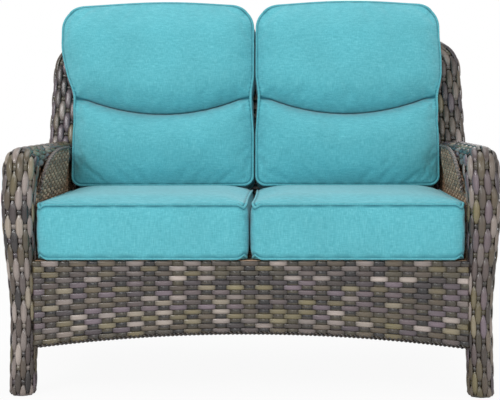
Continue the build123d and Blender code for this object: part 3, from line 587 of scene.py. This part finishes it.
def hoopStations(strands):
    # Rings up the right post, round both top corners and down the left post
    top = (seat["backHeight"] - seat["armHeight"]) / cosine
    low = (seat["kneeHeight"] - seat["armHeight"]) / cosine
    cornerX = seat["halfWidth"] - hoop["taper"] - hoop["topRail"] / 2 - hoop["drawIn"]
    cornerUp = top - hoop["topRail"] / 2
    corner = Vector((cornerX, cornerUp))
    start = Vector((postX, 0))
    lean = (start - corner).normalized()
    turn = math.acos(-lean.x)
    run = hoop["corner"] / math.tan(turn / 2)
    first = corner + lean * run
    last = corner + Vector((-1, 0)) * run
    route = []
    for a, b in ((Vector((postX, low)), start), (start, first)):
        count = max(round((b - a).length / sleeveStep), 1)
        route += [a.lerp(b, k / count) for k in range(count)]
    for k in range(hoop["bendSteps"]):
        part = k / hoop["bendSteps"]
        route.append(first.lerp(corner, part).lerp(corner.lerp(last, part), part))
    half = round(last.x / sleeveStep)
    route += [Vector((last.x * (1 - k / half), cornerUp)) for k in range(half)]
    route = route + [Vector((0, cornerUp))] + [Vector((-p.x, p.y)) for p in reversed(route)]
    stations = []
    for k, place in enumerate(route):
        before = route[max(k - 1, 0)]
        after = route[min(k + 1, len(route) - 1)]
        along = (after - before).normalized()
        out = Vector((along.y, -along.x))
        share = ease(abs(along.x), 0, 1)
        wide = arm["width"] + (hoop["topRail"] - arm["width"]) * share
        across = sideAxis * out.x + upAxis * out.y
        centre = backPoint(place.x, place.y, -hoop["thickness"] / 2)
        section = (wide, hoop["thickness"], hoop["edge"], hoop["edge"])
        stations.append(ringStation(centre, across, -outAxis, section, strands))
    return stations


hoopStrands = 16
backHoop = wovenSleeve("backHoopWeave", hoopStations(hoopStrands), hoopStrands, 37)
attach(backHoop, "frame")
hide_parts("back_hoop_band")
print("back hoop and rear legs woven")


# Flat woven panels: rows laid over stakes

panelWeave = {
    "flatness": 0.6, "overlap": 0.005, "vary": 0.22, "shade": (0.64, 0.36),
    "edgeShade": (0.7, 0.97, 1, 0.97, 0.7), "stakeLift": 0.8, "stakeCrown": 0.0003, "stakeEdge": 0.7,
    "stakeTone": 0.1, "stakeVary": 0.25, "stakeGrain": 0.3, "shortest": 0.1, "levels": 40,
}


def flatWave(turns):
    # A wave with flat tops, as a flat strip takes over and under its stakes
    value = math.cos(math.pi * turns)
    return math.copysign(abs(value) ** panelWeave["flatness"], value)


def wovenPanel(name, spec, onPanel, finish, slotName, seed, limits=None):
    # onPanel(a, b, lift) gives a point from the distance along a row, the share down the panel and the
    # height; limits(b) gives where the row at b starts and ends
    weave = Weave(seed)
    look = panelWeave
    limits = limits or (lambda b: (-spec["half"], spec["half"]))
    rows, pitch, lift = spec["rows"], spec["stakes"], spec["lift"]
    levels = [step / look["levels"] for step in range(look["levels"] + 1)]
    low = min(limits(b)[0] for b in levels)
    high = max(limits(b)[1] for b in levels)
    tones = [weave.random.random() for row in range(rows)]
    for row in range(rows):
        start, end = limits((row + 0.5) / rows)
        count = max(round((end - start) / pitch * spec["fine"]), 2)

        def place(i, j):
            a = start + (end - start) * j / count
            across = row - look["overlap"] + (1 + 2 * look["overlap"]) * i / 4
            wave = flatWave(a / pitch - row)
            height = lift * wave - spec["crown"] * edgeDrop[i]
            # Painted shade where a row dips under a stake and a painted highlight where it lies over, darker
            # at its edges
            shade = (look["shade"][0] + look["shade"][1] * wave) * look["edgeShade"][i]
            point = onPanel(a, min(max(across / rows, 0), 1), height)
            return point, a, math.floor((a / pitch - row + 1) / 2), shade

        weave.strand(4, count, place, tones[row], look["vary"])
    for k in range(math.ceil(low / pitch), math.floor(high / pitch) + 1):
        middle = k * pitch
        inside = [b for b in levels if limits(b)[0] < middle < limits(b)[1]]
        if not inside or inside[-1] - inside[0] < look["shortest"]:
            continue
        first, last = inside[0], inside[-1]
        count = max(round((last - first) * rows * 4), 2)

        def place(i, j):
            b = first + (last - first) * j / count
            a = middle + (i / 2 - 0.5) * spec["stakeWidth"]
            turns = k - (b * rows - 0.5)
            height = -lift * look["stakeLift"] * math.cos(math.pi * turns)
            height -= 0 if i == 1 else look["stakeCrown"]
            # Painted shade on the stakes, darker at their edges
            shade = spec["stakeShade"] * (1 if i == 1 else look["stakeEdge"])
            return onPanel(a, b, height), b * look["stakeGrain"], math.floor((turns + 1) / 2), shade

        weave.strand(2, count, place, look["stakeTone"], look["stakeVary"])
    return weave.finish(name, finish, slotName, spec["thickness"], 0)


beadLook = {
    "radius": 0.0026, "pitch": 0.022, "turnSteps": 9, "sides": 6, "fit": 1.05, "shade": 0.6, "merge": 0.00005,
}
edgeSteps = 60


def twistedBead(name, path, axes, seed, radius=beadLook["radius"], pitch=beadLook["pitch"]):
    # Two strands twisted round each other along an edge; axes are two directions square to it
    weave = Weave(seed)
    gone = [0.0]
    for a, b in zip(path, path[1:]):
        gone.append(gone[-1] + (b - a).length)
    steps = round(gone[-1] / pitch * beadLook["turnSteps"])

    for half in (0, 1):

        def place(i, j):
            travelled = gone[-1] * j / steps
            turn = math.tau * travelled / pitch + math.pi * half
            first, second = axes
            at, part = stretchAt(gone, travelled)
            centre = path[at].lerp(path[at + 1], part)
            centre += (first * math.cos(turn) + second * math.sin(turn)) * radius
            swing = math.tau * i / beadLook["sides"]
            around = first * math.cos(swing) + second * math.sin(swing)
            # A bead takes one level of painted shade
            return centre + around * radius * beadLook["fit"], travelled, 0, beadLook["shade"]

        weave.strand(beadLook["sides"], steps, place)
    bmesh.ops.remove_doubles(weave.bm, verts=weave.bm.verts[:], dist=beadLook["merge"])
    bmesh.ops.recalc_face_normals(weave.bm, faces=weave.bm.faces[:])
    return finishMesh(weave.bm, name, wicker)


apron = {
    "setback": 0.010, "wall": 0.004, "top": 0.350, "end": 0.127, "rise": 0.039, "reach": 0.56675,
    "rows": 15, "stakes": 0.0365, "stakeWidth": 0.027, "stakeShade": 0.30, "lift": 0.0020, "crown": 0.0006,
    "thickness": 0.0012, "fine": 8, "half": 0.553, "beadHalf": 0.552,
}


def apronPlace(a, b, lift):
    low = apron["end"] + apron["rise"] * (1 - (a / apron["reach"]) ** 2)
    height = apron["top"] - (apron["top"] - low) * b
    return Vector((a, seat["frontY"] + apron["setback"] + apron["wall"] / 2 - lift, height))


frontApron = wovenPanel("frontApronWeave", apron, apronPlace, wicker, "wicker", 41)
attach(frontApron, "frame")
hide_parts("front_apron")
half = apron["beadHalf"]
edge = [apronPlace(half * (2 * k / edgeSteps - 1), 1.0, 0) for k in range(edgeSteps + 1)]
bead = twistedBead("frontApronBead", edge, (rearAxis, Vector((0, 0, 1))), 43)
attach(bead, "frame")

# The rear apron lies along the rear legs' slope
rearLeg = {"footY": 0.3435, "kneeY": 0.19513, "rise": 0.356}
lean = math.atan((rearLeg["footY"] - rearLeg["kneeY"]) / rearLeg["rise"])
rearSheet = dict(apron, rows=14, reach=0.574, top=Vector((0, 0.18766, 0.317)), drop=0.191, sink=0.002,
                 half=0.547, flare=0.006, beadHalf=0.55)
downBack = Vector((0, math.sin(lean), -math.cos(lean)))
squareBack = Vector((0, math.cos(lean), math.sin(lean)))


def rearApronPlace(a, b, lift):
    spec = rearSheet
    length = spec["drop"] / math.cos(lean) - spec["rise"] * (1 - (a / spec["reach"]) ** 2)
    return spec["top"] + sideAxis * a + downBack * (length * b) + squareBack * (lift - spec["sink"])


def rearApronLimits(b):
    half = rearSheet["half"] + rearSheet["flare"] * b
    return -half, half


rearApron = wovenPanel("rearApronWeave", rearSheet, rearApronPlace, wicker, "wicker", 47, rearApronLimits)
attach(rearApron, "frame")
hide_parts("rear_apron")
half = rearSheet["beadHalf"]
edge = [rearApronPlace(half * (2 * k / edgeSteps - 1), 1.0, 0) for k in range(edgeSteps + 1)]
bead = twistedBead("rearApronBead", edge, (squareBack, downBack), 53)
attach(bead, "frame")

backSheet = dict(apron, rows=40, fine=5, depth=-0.010, low=-0.300, high=0.2495, lap=0.006)


def backUp(b):
    return backSheet["high"] + (backSheet["low"] - backSheet["high"]) * b


def backPlace(a, b, lift):
    return backPoint(a, backUp(b), backSheet["depth"] + lift)


def backLimits(b):
    half = seat["halfWidth"] - arm["width"] + backSheet["lap"]
    half -= hoop["taper"] * max(backUp(b), 0) / backSheet["high"]
    return -half, half


backWeave = wovenPanel("backPanelWeave", backSheet, backPlace, wicker, "wicker", 59, backLimits)
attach(backWeave, "frame")
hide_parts("back_panel")

deckSheet = dict(apron, rows=24, stakes=0.046, stakeWidth=0.018, lift=0.0012, fine=4, crown=0.0005,
                 front=-0.357, depth=0.526, height=0.3495, half=0.549)


def deckPlace(a, b, lift):
    return Vector((a, deckSheet["front"] + deckSheet["depth"] * b, deckSheet["height"] + lift))


deckWeave = wovenPanel("seatDeckWeave", deckSheet, deckPlace, fineWicker, "fine_wicker", 61)
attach(deckWeave, "frame")
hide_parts("seat_deck")

sidePanel = {
    "front": -0.3205, "top": 0.592, "end": 0.126, "rise": 0.022, "rows": 60, "stakes": 0.024,
    "stakeWidth": 0.006, "stakeShade": 0.7, "lift": 0.0012, "crown": 0.0008, "thickness": 0.0010, "fine": 3,
    "innerX": 0.552, "outerX": 0.606, "lap": 0.010,
}


def rearInside(height):
    # How far back a side panel reaches, a little way into post or leg
    if height > seat["kneeHeight"]:
        return seat["faceY"] + (height - seat["armHeight"]) * math.tan(seat["recline"]) + sidePanel["lap"]
    part = (height - seat["glide"]) / (seat["kneeHeight"] - seat["glide"])
    middle = rearLeg["footY"] + (rearLeg["kneeY"] - rearLeg["footY"]) * part
    return middle - hoop["thickness"] / cosine / 2 + sidePanel["lap"]


def sideHeight(a, b):
    # The height at a share of the way down, over an arched lower edge
    rear = rearInside(sidePanel["end"])
    middle, half = (sidePanel["front"] + rear) / 2, (rear - sidePanel["front"]) / 2
    low = sidePanel["end"] + sidePanel["rise"] * max(1 - ((a - middle) / half) ** 2, 0)
    return sidePanel["top"] - (sidePanel["top"] - low) * b


def sideLimits(b):
    return sidePanel["front"], rearInside(sideHeight(0.0, b))


for word, x, facing, seed in (("Inner", sidePanel["innerX"], -1, 67), ("Outer", sidePanel["outerX"], 1, 71)):

    def sidePlace(a, b, lift):
        return Vector((x + facing * lift, a, sideHeight(a, b)))

    name = "right" + word + "PanelWeave"
    made = wovenPanel(name, sidePanel, sidePlace, fineWicker, "fine_wicker", seed, sideLimits)
    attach(made, "frame")
    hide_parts("right_" + word.lower() + "_panel")
    leftCopy(made, "left" + word + "PanelWeave", "left_" + word.lower() + "_panel")
print("panels woven")

# The fine weave goes on up the arm's inner side, behind a twisted bead
armPanel = dict(sidePanel, rows=14, front=-0.3080, rear=0.062, high=0.628, low=0.516, turnHigh=0.088,
                turnDeep=0.27, x=0.5498, drawIn=0.0122, drawnTop=0.600)
beadRise = {
    "x": 0.5450, "drawIn": 0.0100, "from": 0.50, "to": 0.58, "heights": (0.522, 0.530), "turnSteps": 24,
    "levelSteps": 8, "levelStep": 0.01, "radius": 0.0030, "pitch": 0.018,
}


def armPanelHeight(b):
    return armPanel["high"] + (armPanel["low"] - armPanel["high"]) * b


def turnedFront(height):
    # How far back the bead has turned at a height
    over = min(max(1 - (armPanel["high"] - height) / armPanel["turnHigh"], 0), 1)
    return armPanel["front"] + armPanel["turnDeep"] * (1 - math.sqrt(1 - over ** 2))


def armPanelLimits(b):
    return turnedFront(armPanelHeight(b)), armPanel["rear"]


def armPanelPlace(a, b, lift):
    height = armPanelHeight(b)
    drawnIn = armPanel["drawIn"] * ease(height, armPanel["low"], armPanel["drawnTop"])
    return Vector((armPanel["x"] - drawnIn - lift, a, height))


name = "rightArmInnerWeave"
armFine = wovenPanel(name, armPanel, armPanelPlace, fineWicker, "fine_wicker", 79, armPanelLimits)
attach(armFine, "frame")
leftCopy(armFine, "leftArmInnerWeave")

profile = [(armPanel["front"], height) for height in beadRise["heights"]]
for k in range(beadRise["turnSteps"] + 1):
    swing = math.pi / 2 * k / beadRise["turnSteps"]
    along = armPanel["front"] + armPanel["turnDeep"] * (1 - math.cos(swing))
    profile.append((along, armPanel["high"] - armPanel["turnHigh"] * (1 - math.sin(swing))))
for k in range(beadRise["levelSteps"]):
    profile.append((along + beadRise["levelStep"] * (k + 1), armPanel["high"]))
beadRoute = []
for along, height in profile:
    drawnIn = beadRise["drawIn"] * ease(height, beadRise["from"], beadRise["to"])
    beadRoute.append(Vector((beadRise["x"] - drawnIn, along, height)))
axes = (sideAxis, Vector((0, 1, 1)).normalized())
bead = twistedBead("rightPanelBead", beadRoute, axes, 73, beadRise["radius"], beadRise["pitch"])
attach(bead, "frame")
leftCopy(bead, "leftPanelBead")


# Cushions

cushion = {"dome": (2.3, 0.8), "gather": 1.5, "seamSteps": 60, "seamShade": 0.010}


def domed(part):
    # From 0 at a seam to 1 once well inside it
    inner, outer = cushion["dome"]
    return (1 - (1 - min(max(part, 0), 1)) ** inner) ** outer


def roundCorner(x, y, halfX, halfY, radius):
    # A point of a square-cornered outline moved onto its rounded corners
    ex, ey = abs(x) - (halfX - radius), abs(y) - (halfY - radius)
    if ex > 0 and ey > 0:
        fit = max(ex, ey) / math.hypot(ex, ey)
        x = math.copysign(halfX - radius + ex * fit, x)
        y = math.copysign(halfY - radius + ey * fit, y)
    return x, y


def gathered(value):
    # Grid places drawn towards both ends, where the seams are
    return math.copysign(1 - (1 - abs(value)) ** cushion["gather"], value)


def gatheredBoth(value):
    # Grid places drawn towards the middle and both ends
    return math.copysign((1 - math.cos(math.pi * abs(value))) / 2, value)


seatPad = {
    "halfX": 0.2695, "halfY": 0.261, "height": 0.142, "crown": 0.017, "radius": 0.026,
    "drawIn": 0.003, "bulge": 0.004, "reach": 0.13, "cuts": (70, 70, 14), "middleX": 0.2745,
    "middleY": -0.1035, "floor": 0.3526, "piping": 0.0034, "cap": 0.004, "shrink": -0.01, "corner": 0.13,
    "cornerFrom": 0.90, "waist": (0.4, 6),
}


def seatPoint(x, y, z):
    spec = seatPad
    swell = spec["bulge"] * (spec["waist"][0] - abs(z) ** spec["waist"][1])
    halfX, halfY = spec["halfX"] + swell, spec["halfY"] + swell
    px, py = roundCorner(x * halfX, y * halfY, halfX, halfY, spec["radius"])
    px -= spec["drawIn"] * (1 - y * y) * x ** 3
    py -= spec["drawIn"] * (1 - x * x) * y ** 3
    thin = spec["corner"] * ease(abs(x * y), spec["cornerFrom"], 1)
    height = spec["height"] * (1 + z * (1 - thin)) / 2
    near = min((1 - abs(x)) * spec["halfX"], (1 - abs(y)) * spec["halfY"])
    if z == 1:
        height += spec["crown"] * domed(near / spec["reach"])
    return Vector((px, py, height))


backPad = {
    "half": 0.2655, "height": 0.540, "extra": 0.034, "boxing": 0.096, "lower": 0.052, "head": 0.046,
    "crease": 0.2135, "smile": 0.052, "pinch": 0.007, "arch": 0.012, "topRadius": 0.068, "gather": 0.0022,
    "bottomRadius": 0.026, "reach": 0.125, "innerX": 0.0055, "up": -0.15057, "piping": 0.0036,
    "cuts": (74, 90, 12), "overhang": 0.012, "swell": 0.004, "creaseDip": 0.016, "cap": 0.008, "shrink": -0.02,
    "bow": 1.13, "curl": 0.20, "curlFrom": (0.84, 1.04), "pinchFrom": 0.25, "pinchTo": 0.62, "hip": 0.006,
    "hipFrom": (0.33, 0.45), "widenFrom": 0.03, "widest": 0.80, "fall": (0.34, 0.66, 0.74),
    "foldReach": (0.022, 0.05, 0.095, 0.04), "valley": (0.05, 0.012), "fan": (9, 0.004, 0.034, 0.020),
    "set": 0.0006,
}


def backLocal(x, y, z):
    # x across, y up from -1 to 1 with the crease at 0, z from the flat back at -1 to the seam at 1
    spec = backPad
    curve = spec["bow"] * x * x - spec["curl"] * ease(abs(x), *spec["curlFrom"])
    creaseUp = spec["crease"] + spec["smile"] * curve
    top = spec["height"] + spec["arch"] * (1 - x * x) ** 2
    up = (y + 1) * creaseUp if y < 0 else creaseUp + y * (top - creaseUp)
    flat = (spec["crease"] + spec["smile"]) / spec["height"]
    rise = up / spec["height"]
    if rise < flat:
        half = spec["half"] - spec["pinch"] * ease(rise, spec["pinchFrom"], flat)
    else:
        half = spec["half"] - spec["pinch"] * (1 - ease(rise, flat, spec["pinchTo"]))
    if x > 0:
        half += spec["hip"] * ease(rise, *spec["hipFrom"])
        half += spec["extra"] * ease(rise, flat - spec["widenFrom"], spec["widest"])
    half += spec["swell"] * (1 - z * z) / 2
    px = x * half
    middle = top / 2
    radius = spec["topRadius"] if up > middle else spec["bottomRadius"]
    px, shifted = roundCorner(px, up - middle, half, middle, radius)
    up = shifted + middle
    depth = spec["boxing"] * (z + 1) / 2
    if z == 1:
        edge = (1 - abs(x)) * half
        side = domed(edge / spec["reach"])
        fold = abs(up - creaseUp)
        under, foot, over, ends = spec["foldReach"]
        hang, dip = spec["valley"]
        if y < 0:
            level, hollow, power = spec["fall"]
            lobe = level * domed(fold / under) * domed(up / foot)
            lobe += hollow * math.sin(math.pi * (fold / creaseUp) ** power)
            depth += spec["lower"] * side * lobe
        else:
            lobe = domed((top - up) / spec["reach"]) * domed(fold / over)
            depth += spec["head"] * side * lobe
            up -= spec["overhang"] * side * lobe * math.exp(-(fold / hang) ** 2)
        depth -= spec["creaseDip"] * domed(edge / ends) * math.exp(-(fold / dip) ** 2)
        # Small folds fan out from both ends of the crease
        folds, offset, centre, spread = spec["fan"]
        away = math.hypot(edge, fold)
        turn = math.atan2(up - creaseUp, edge + offset)
        fan = math.exp(-((away - centre) / spread) ** 2)
        depth += spec["gather"] * math.cos(folds * turn) * fan
    return Vector((px, up, depth))


def padMesh(name, cuts, shape, spread):
    # A cube, closely divided along each axis, whose points are laid on the cushion's form
    bm = bmesh.new()
    bmesh.ops.create_cube(bm, size=2)
    for axis, count in enumerate(cuts):
        edges = [edge for edge in bm.edges if abs((edge.verts[0].co - edge.verts[1].co)[axis]) > 0.001]
        bmesh.ops.subdivide_edges(bm, edges=edges, cuts=count)
    for vert in bm.verts:
        x, y, z = (round(value, 5) for value in vert.co)
        vert.co = shape(gathered(x), spread(y), gathered(z))
    bmesh.ops.recalc_face_normals(bm, faces=bm.faces[:])
    if bm.calc_volume(signed=True) < 0:
        bmesh.ops.reverse_faces(bm, faces=bm.faces[:])
    return finishMesh(bm, name, fabric)


def seamTree(paths):
    # The seams' points, searched for the nearest one
    points = [point for path in paths for point in path]
    tree = KDTree(len(points))
    for number, point in enumerate(points):
        tree.insert(point, number)
    tree.balance()
    return tree


def shadeSeams(cover, paths):
    # A value of 1 on every seam, and on the back cushion's crease, that fades over a short reach; the cloth's
    # finish reads it as painted shade
    tree, reach = seamTree(paths), cushion["seamShade"]
    layer = cover.data.attributes.new("seam", "FLOAT", "POINT")
    for vert in cover.data.vertices:
        layer.data[vert.index].value = 1 - ease(tree.find(vert.co)[2], reach / 3, reach)


clothSettings = {
    "quality": 4, "mass": 0.3, "tension_stiffness": 12, "compression_stiffness": 12, "bending_stiffness": 0.3,
    "use_pressure": True, "uniform_pressure_force": 4,
}
clothFrames, heldReach = 20, (0.004, 0.016)


def puffed(cover, held, spec, room):
    # The filling presses the cloth out between its seams, which hold still; no point goes past a small cap
    mesh = cover.data
    tree = seamTree(held)
    start = [vert.co.copy() for vert in mesh.vertices]
    group = cover.vertex_groups.new(name="held")
    for vert in mesh.vertices:
        group.add([vert.index], 1 - ease(tree.find(vert.co)[2], *heldReach), "REPLACE")
    cloth = cover.modifiers.new("cloth", "CLOTH")
    settings = cloth.settings
    for key, value in clothSettings.items():
        setattr(settings, key, value)
    settings.shrink_min = spec["shrink"]
    settings.vertex_group_mass = "held"
    settings.effector_weights.gravity = 0
    cloth.collision_settings.use_collision = False
    for number in range(clothFrames):
        bpy.context.scene.frame_set(number + 1)
    graph = bpy.context.evaluated_depsgraph_get()
    moved = [vert.co.copy() for vert in cover.evaluated_get(graph).data.vertices]
    cover.modifiers.remove(cloth)
    cover.vertex_groups.clear()
    for vert, before, after in zip(mesh.vertices, start, moved):
        step = after - before
        far = step.length
        vert.co = room(before + step * (spec["cap"] * math.tanh(far / spec["cap"]) / max(far, 1e-9)))
    bpy.context.scene.frame_set(1)
    finer = cover.modifiers.new("finer", "SUBSURF")
    finer.levels = finer.render_levels = 1


space = {"middle": 0.0014, "panel": 0.5485, "arm": 0.5385, "armTop": 0.655}


def seatRoom(point):
    # The space between the deck, the other cushion and the side panel
    side = math.copysign(1, point.x)
    across = min(max(abs(point.x), space["middle"]), space["panel"])
    return Vector((side * across, point.y, max(point.z, seatPad["floor"])))


def backRoom(point):
    # The space in front of the posts, between the other cushion and the arm
    side = math.copysign(1, point.x)
    across = max(abs(point.x), space["middle"])
    if point.z < space["armTop"]:
        across = min(across, space["arm"])
    point = Vector((side * across, point.y, point.z))
    depth = (point - backOrigin).dot(outAxis)
    return point + outAxis * max(backPad["set"] - depth, 0)


def seamPath(shape, z):
    # The seam round a cushion at the front or rear edge of its boxing
    path, steps = [], cushion["seamSteps"]
    for side in range(4):
        for k in range(steps):
            t = gathered(-1 + 2 * k / steps)
            x, y = ((t, -1), (1, t), (-t, 1), (-1, -t))[side]
            path.append(shape(x, y, z))
    return path


def pipingMesh(name, path, plane, radius):
    # A round cord in its cloth sleeve, sewn along a closed seam; plane is square to the seam
    bm = bmesh.new()
    count, sides = len(path), 8
    made = bmesh.ops.create_grid(bm, x_segments=sides, y_segments=count, size=1)["verts"]
    for vert in made:
        i = round((vert.co.x + 1) / 2 * sides)
        j = round((vert.co.y + 1) / 2 * count)
        along = (path[(j + 1) % count] - path[(j - 1) % count]).normalized()
        out = along.cross(plane).normalized()
        turn = math.tau * i / sides
        vert.co = path[j % count] + (out * math.cos(turn) + plane * math.sin(turn)) * radius
    bmesh.ops.remove_doubles(bm, verts=bm.verts[:], dist=0.00002)
    bmesh.ops.recalc_face_normals(bm, faces=bm.faces[:])
    return finishMesh(bm, name, pipingFabric)


def placeSeat(point, side):
    x = side * (seatPad["middleX"] + point.x)
    return Vector((x, seatPad["middleY"] + point.y, seatPad["floor"] + point.z))


headLess = {"width": 0.032, "across": (0.05, 0.30), "up": (0.27, 0.45)}


def placeBack(point, side):
    # The right-hand cushion's head is a little narrower, as in the photograph
    x = backPad["innerX"] + backPad["half"] + point.x
    if side > 0:
        x -= headLess["width"] * ease(point.x, *headLess["across"]) * ease(point.y, *headLess["up"])
    return backPoint(side * x, backPad["up"] + point.y, backPad["set"] + point.z)


for side, word in ((1, "right"), (-1, "left")):

    def seatShape(x, y, z):
        return placeSeat(seatPoint(x, y, z), side)

    def backShape(x, y, z):
        return placeBack(backLocal(x, y, z), side)

    for kind, shape, spec, spread, room in (("Seat", seatShape, seatPad, gathered, seatRoom),
                                            ("Back", backShape, backPad, gatheredBoth, backRoom)):
        cover = padMesh(word + kind + "Cover", spec["cuts"], shape, spread)
        body = word + "_" + kind.lower() + "_cushion"
        plane = Vector((0, 0, 1)) if kind == "Seat" else outAxis
        edges = [seamPath(shape, z) for z in (-1, 1)]
        seams = [[point + plane * spec["piping"] for point in edges[0]], edges[1]]
        for number, path in enumerate(seams):
            made = pipingMesh(word + kind + "Piping" + str(number), path, plane, spec["piping"])
            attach(made, body)
            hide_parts(word + "_" + kind.lower() + "_piping")
        if kind == "Back":
            # The crease is held still like the seams and takes their painted shade
            steps = cushion["seamSteps"]
            seams.append([shape(k / steps - 1, 0, 1) for k in range(2 * steps + 1)])
        puffed(cover, edges + seams[2:], spec, room)
        shadeSeams(cover, seams)
        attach(cover, body)
        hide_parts(word + "_" + kind.lower() + "_cover")
print("cushions made")


# Floor and light

light = {
    "floorSize": 14, "floorTone": 0.80, "floorRoughness": 0.9, "floorGlow": 0.93, "world": 0.56,
}
# Each lamp's place, the height it aims at, its size and its power
lamps = {
    "keyLamp": ((-2.4, -3.2, 2.7), 0.5, 1.3, 66),
    "frontLamp": ((-0.5, -5.4, 1.7), 0.5, 1.8, 34),
    "fillLamp": ((2.6, -2.6, 1.8), 0.4, 2.4, 20),
    "topLamp": ((0.2, 0.3, 3.4), 0.4, 2.4, 30),
    "rearLamp": ((0.8, 3.2, 2.4), 0.5, 2.4, 20),
}
bm = bmesh.new()
bmesh.ops.create_grid(bm, x_segments=1, y_segments=1, size=light["floorSize"])
floorMesh = bpy.data.meshes.new("floor")
bm.to_mesh(floorMesh)
bm.free()
floor = addObject("floor", floorMesh)
floorLook, tree, shader = newMaterial("floorLook")
shader.inputs["Base Color"].default_value = (*[light["floorTone"]] * 3, 1)
shader.inputs["Roughness"].default_value = light["floorRoughness"]
glow = addNode(tree, "Emission", Strength=1.0)
seen = addNode(tree, "LightPath")
share = addNode(tree, "Math", operation="MULTIPLY")
share.inputs[1].default_value = light["floorGlow"]
tree.links.new(seen.outputs["Is Camera Ray"], share.inputs[0])
blend = addNode(tree, "MixShader")
tree.links.new(share.outputs[0], blend.inputs[0])
tree.links.new(shader.outputs[0], blend.inputs[1])
tree.links.new(glow.outputs[0], blend.inputs[2])
tree.links.new(blend.outputs[0], tree.nodes["Material Output"].inputs["Surface"])
floorMesh.materials.append(floorLook)

world = bpy.data.worlds.new("studio")
bpy.context.scene.world = world
world.use_nodes = True
tree = world.node_tree
sky = tree.nodes["Background"]
sky.inputs["Color"].default_value = (1, 1, 1, 1)
seen = addNode(tree, "LightPath")
level = addNode(tree, "MapRange", To_Min=light["world"], To_Max=1.0)
tree.links.new(seen.outputs["Is Camera Ray"], level.inputs["Value"])
tree.links.new(level.outputs["Result"], sky.inputs["Strength"])


for name, (place, aimHeight, size, power) in lamps.items():
    lamp = bpy.data.lights.new(name, "AREA")
    lamp.shape = "SQUARE"
    lamp.size = size
    lamp.energy = power
    made = addObject(name, lamp)
    made.location = place
    aim = Vector((0, 0, aimHeight)) - Vector(place)
    made.rotation_euler = aim.to_track_quat("-Z", "Y").to_euler()
bpy.context.scene.view_settings.view_transform = "Standard"

bpy.context.view_layer.update()
print("scene finished")
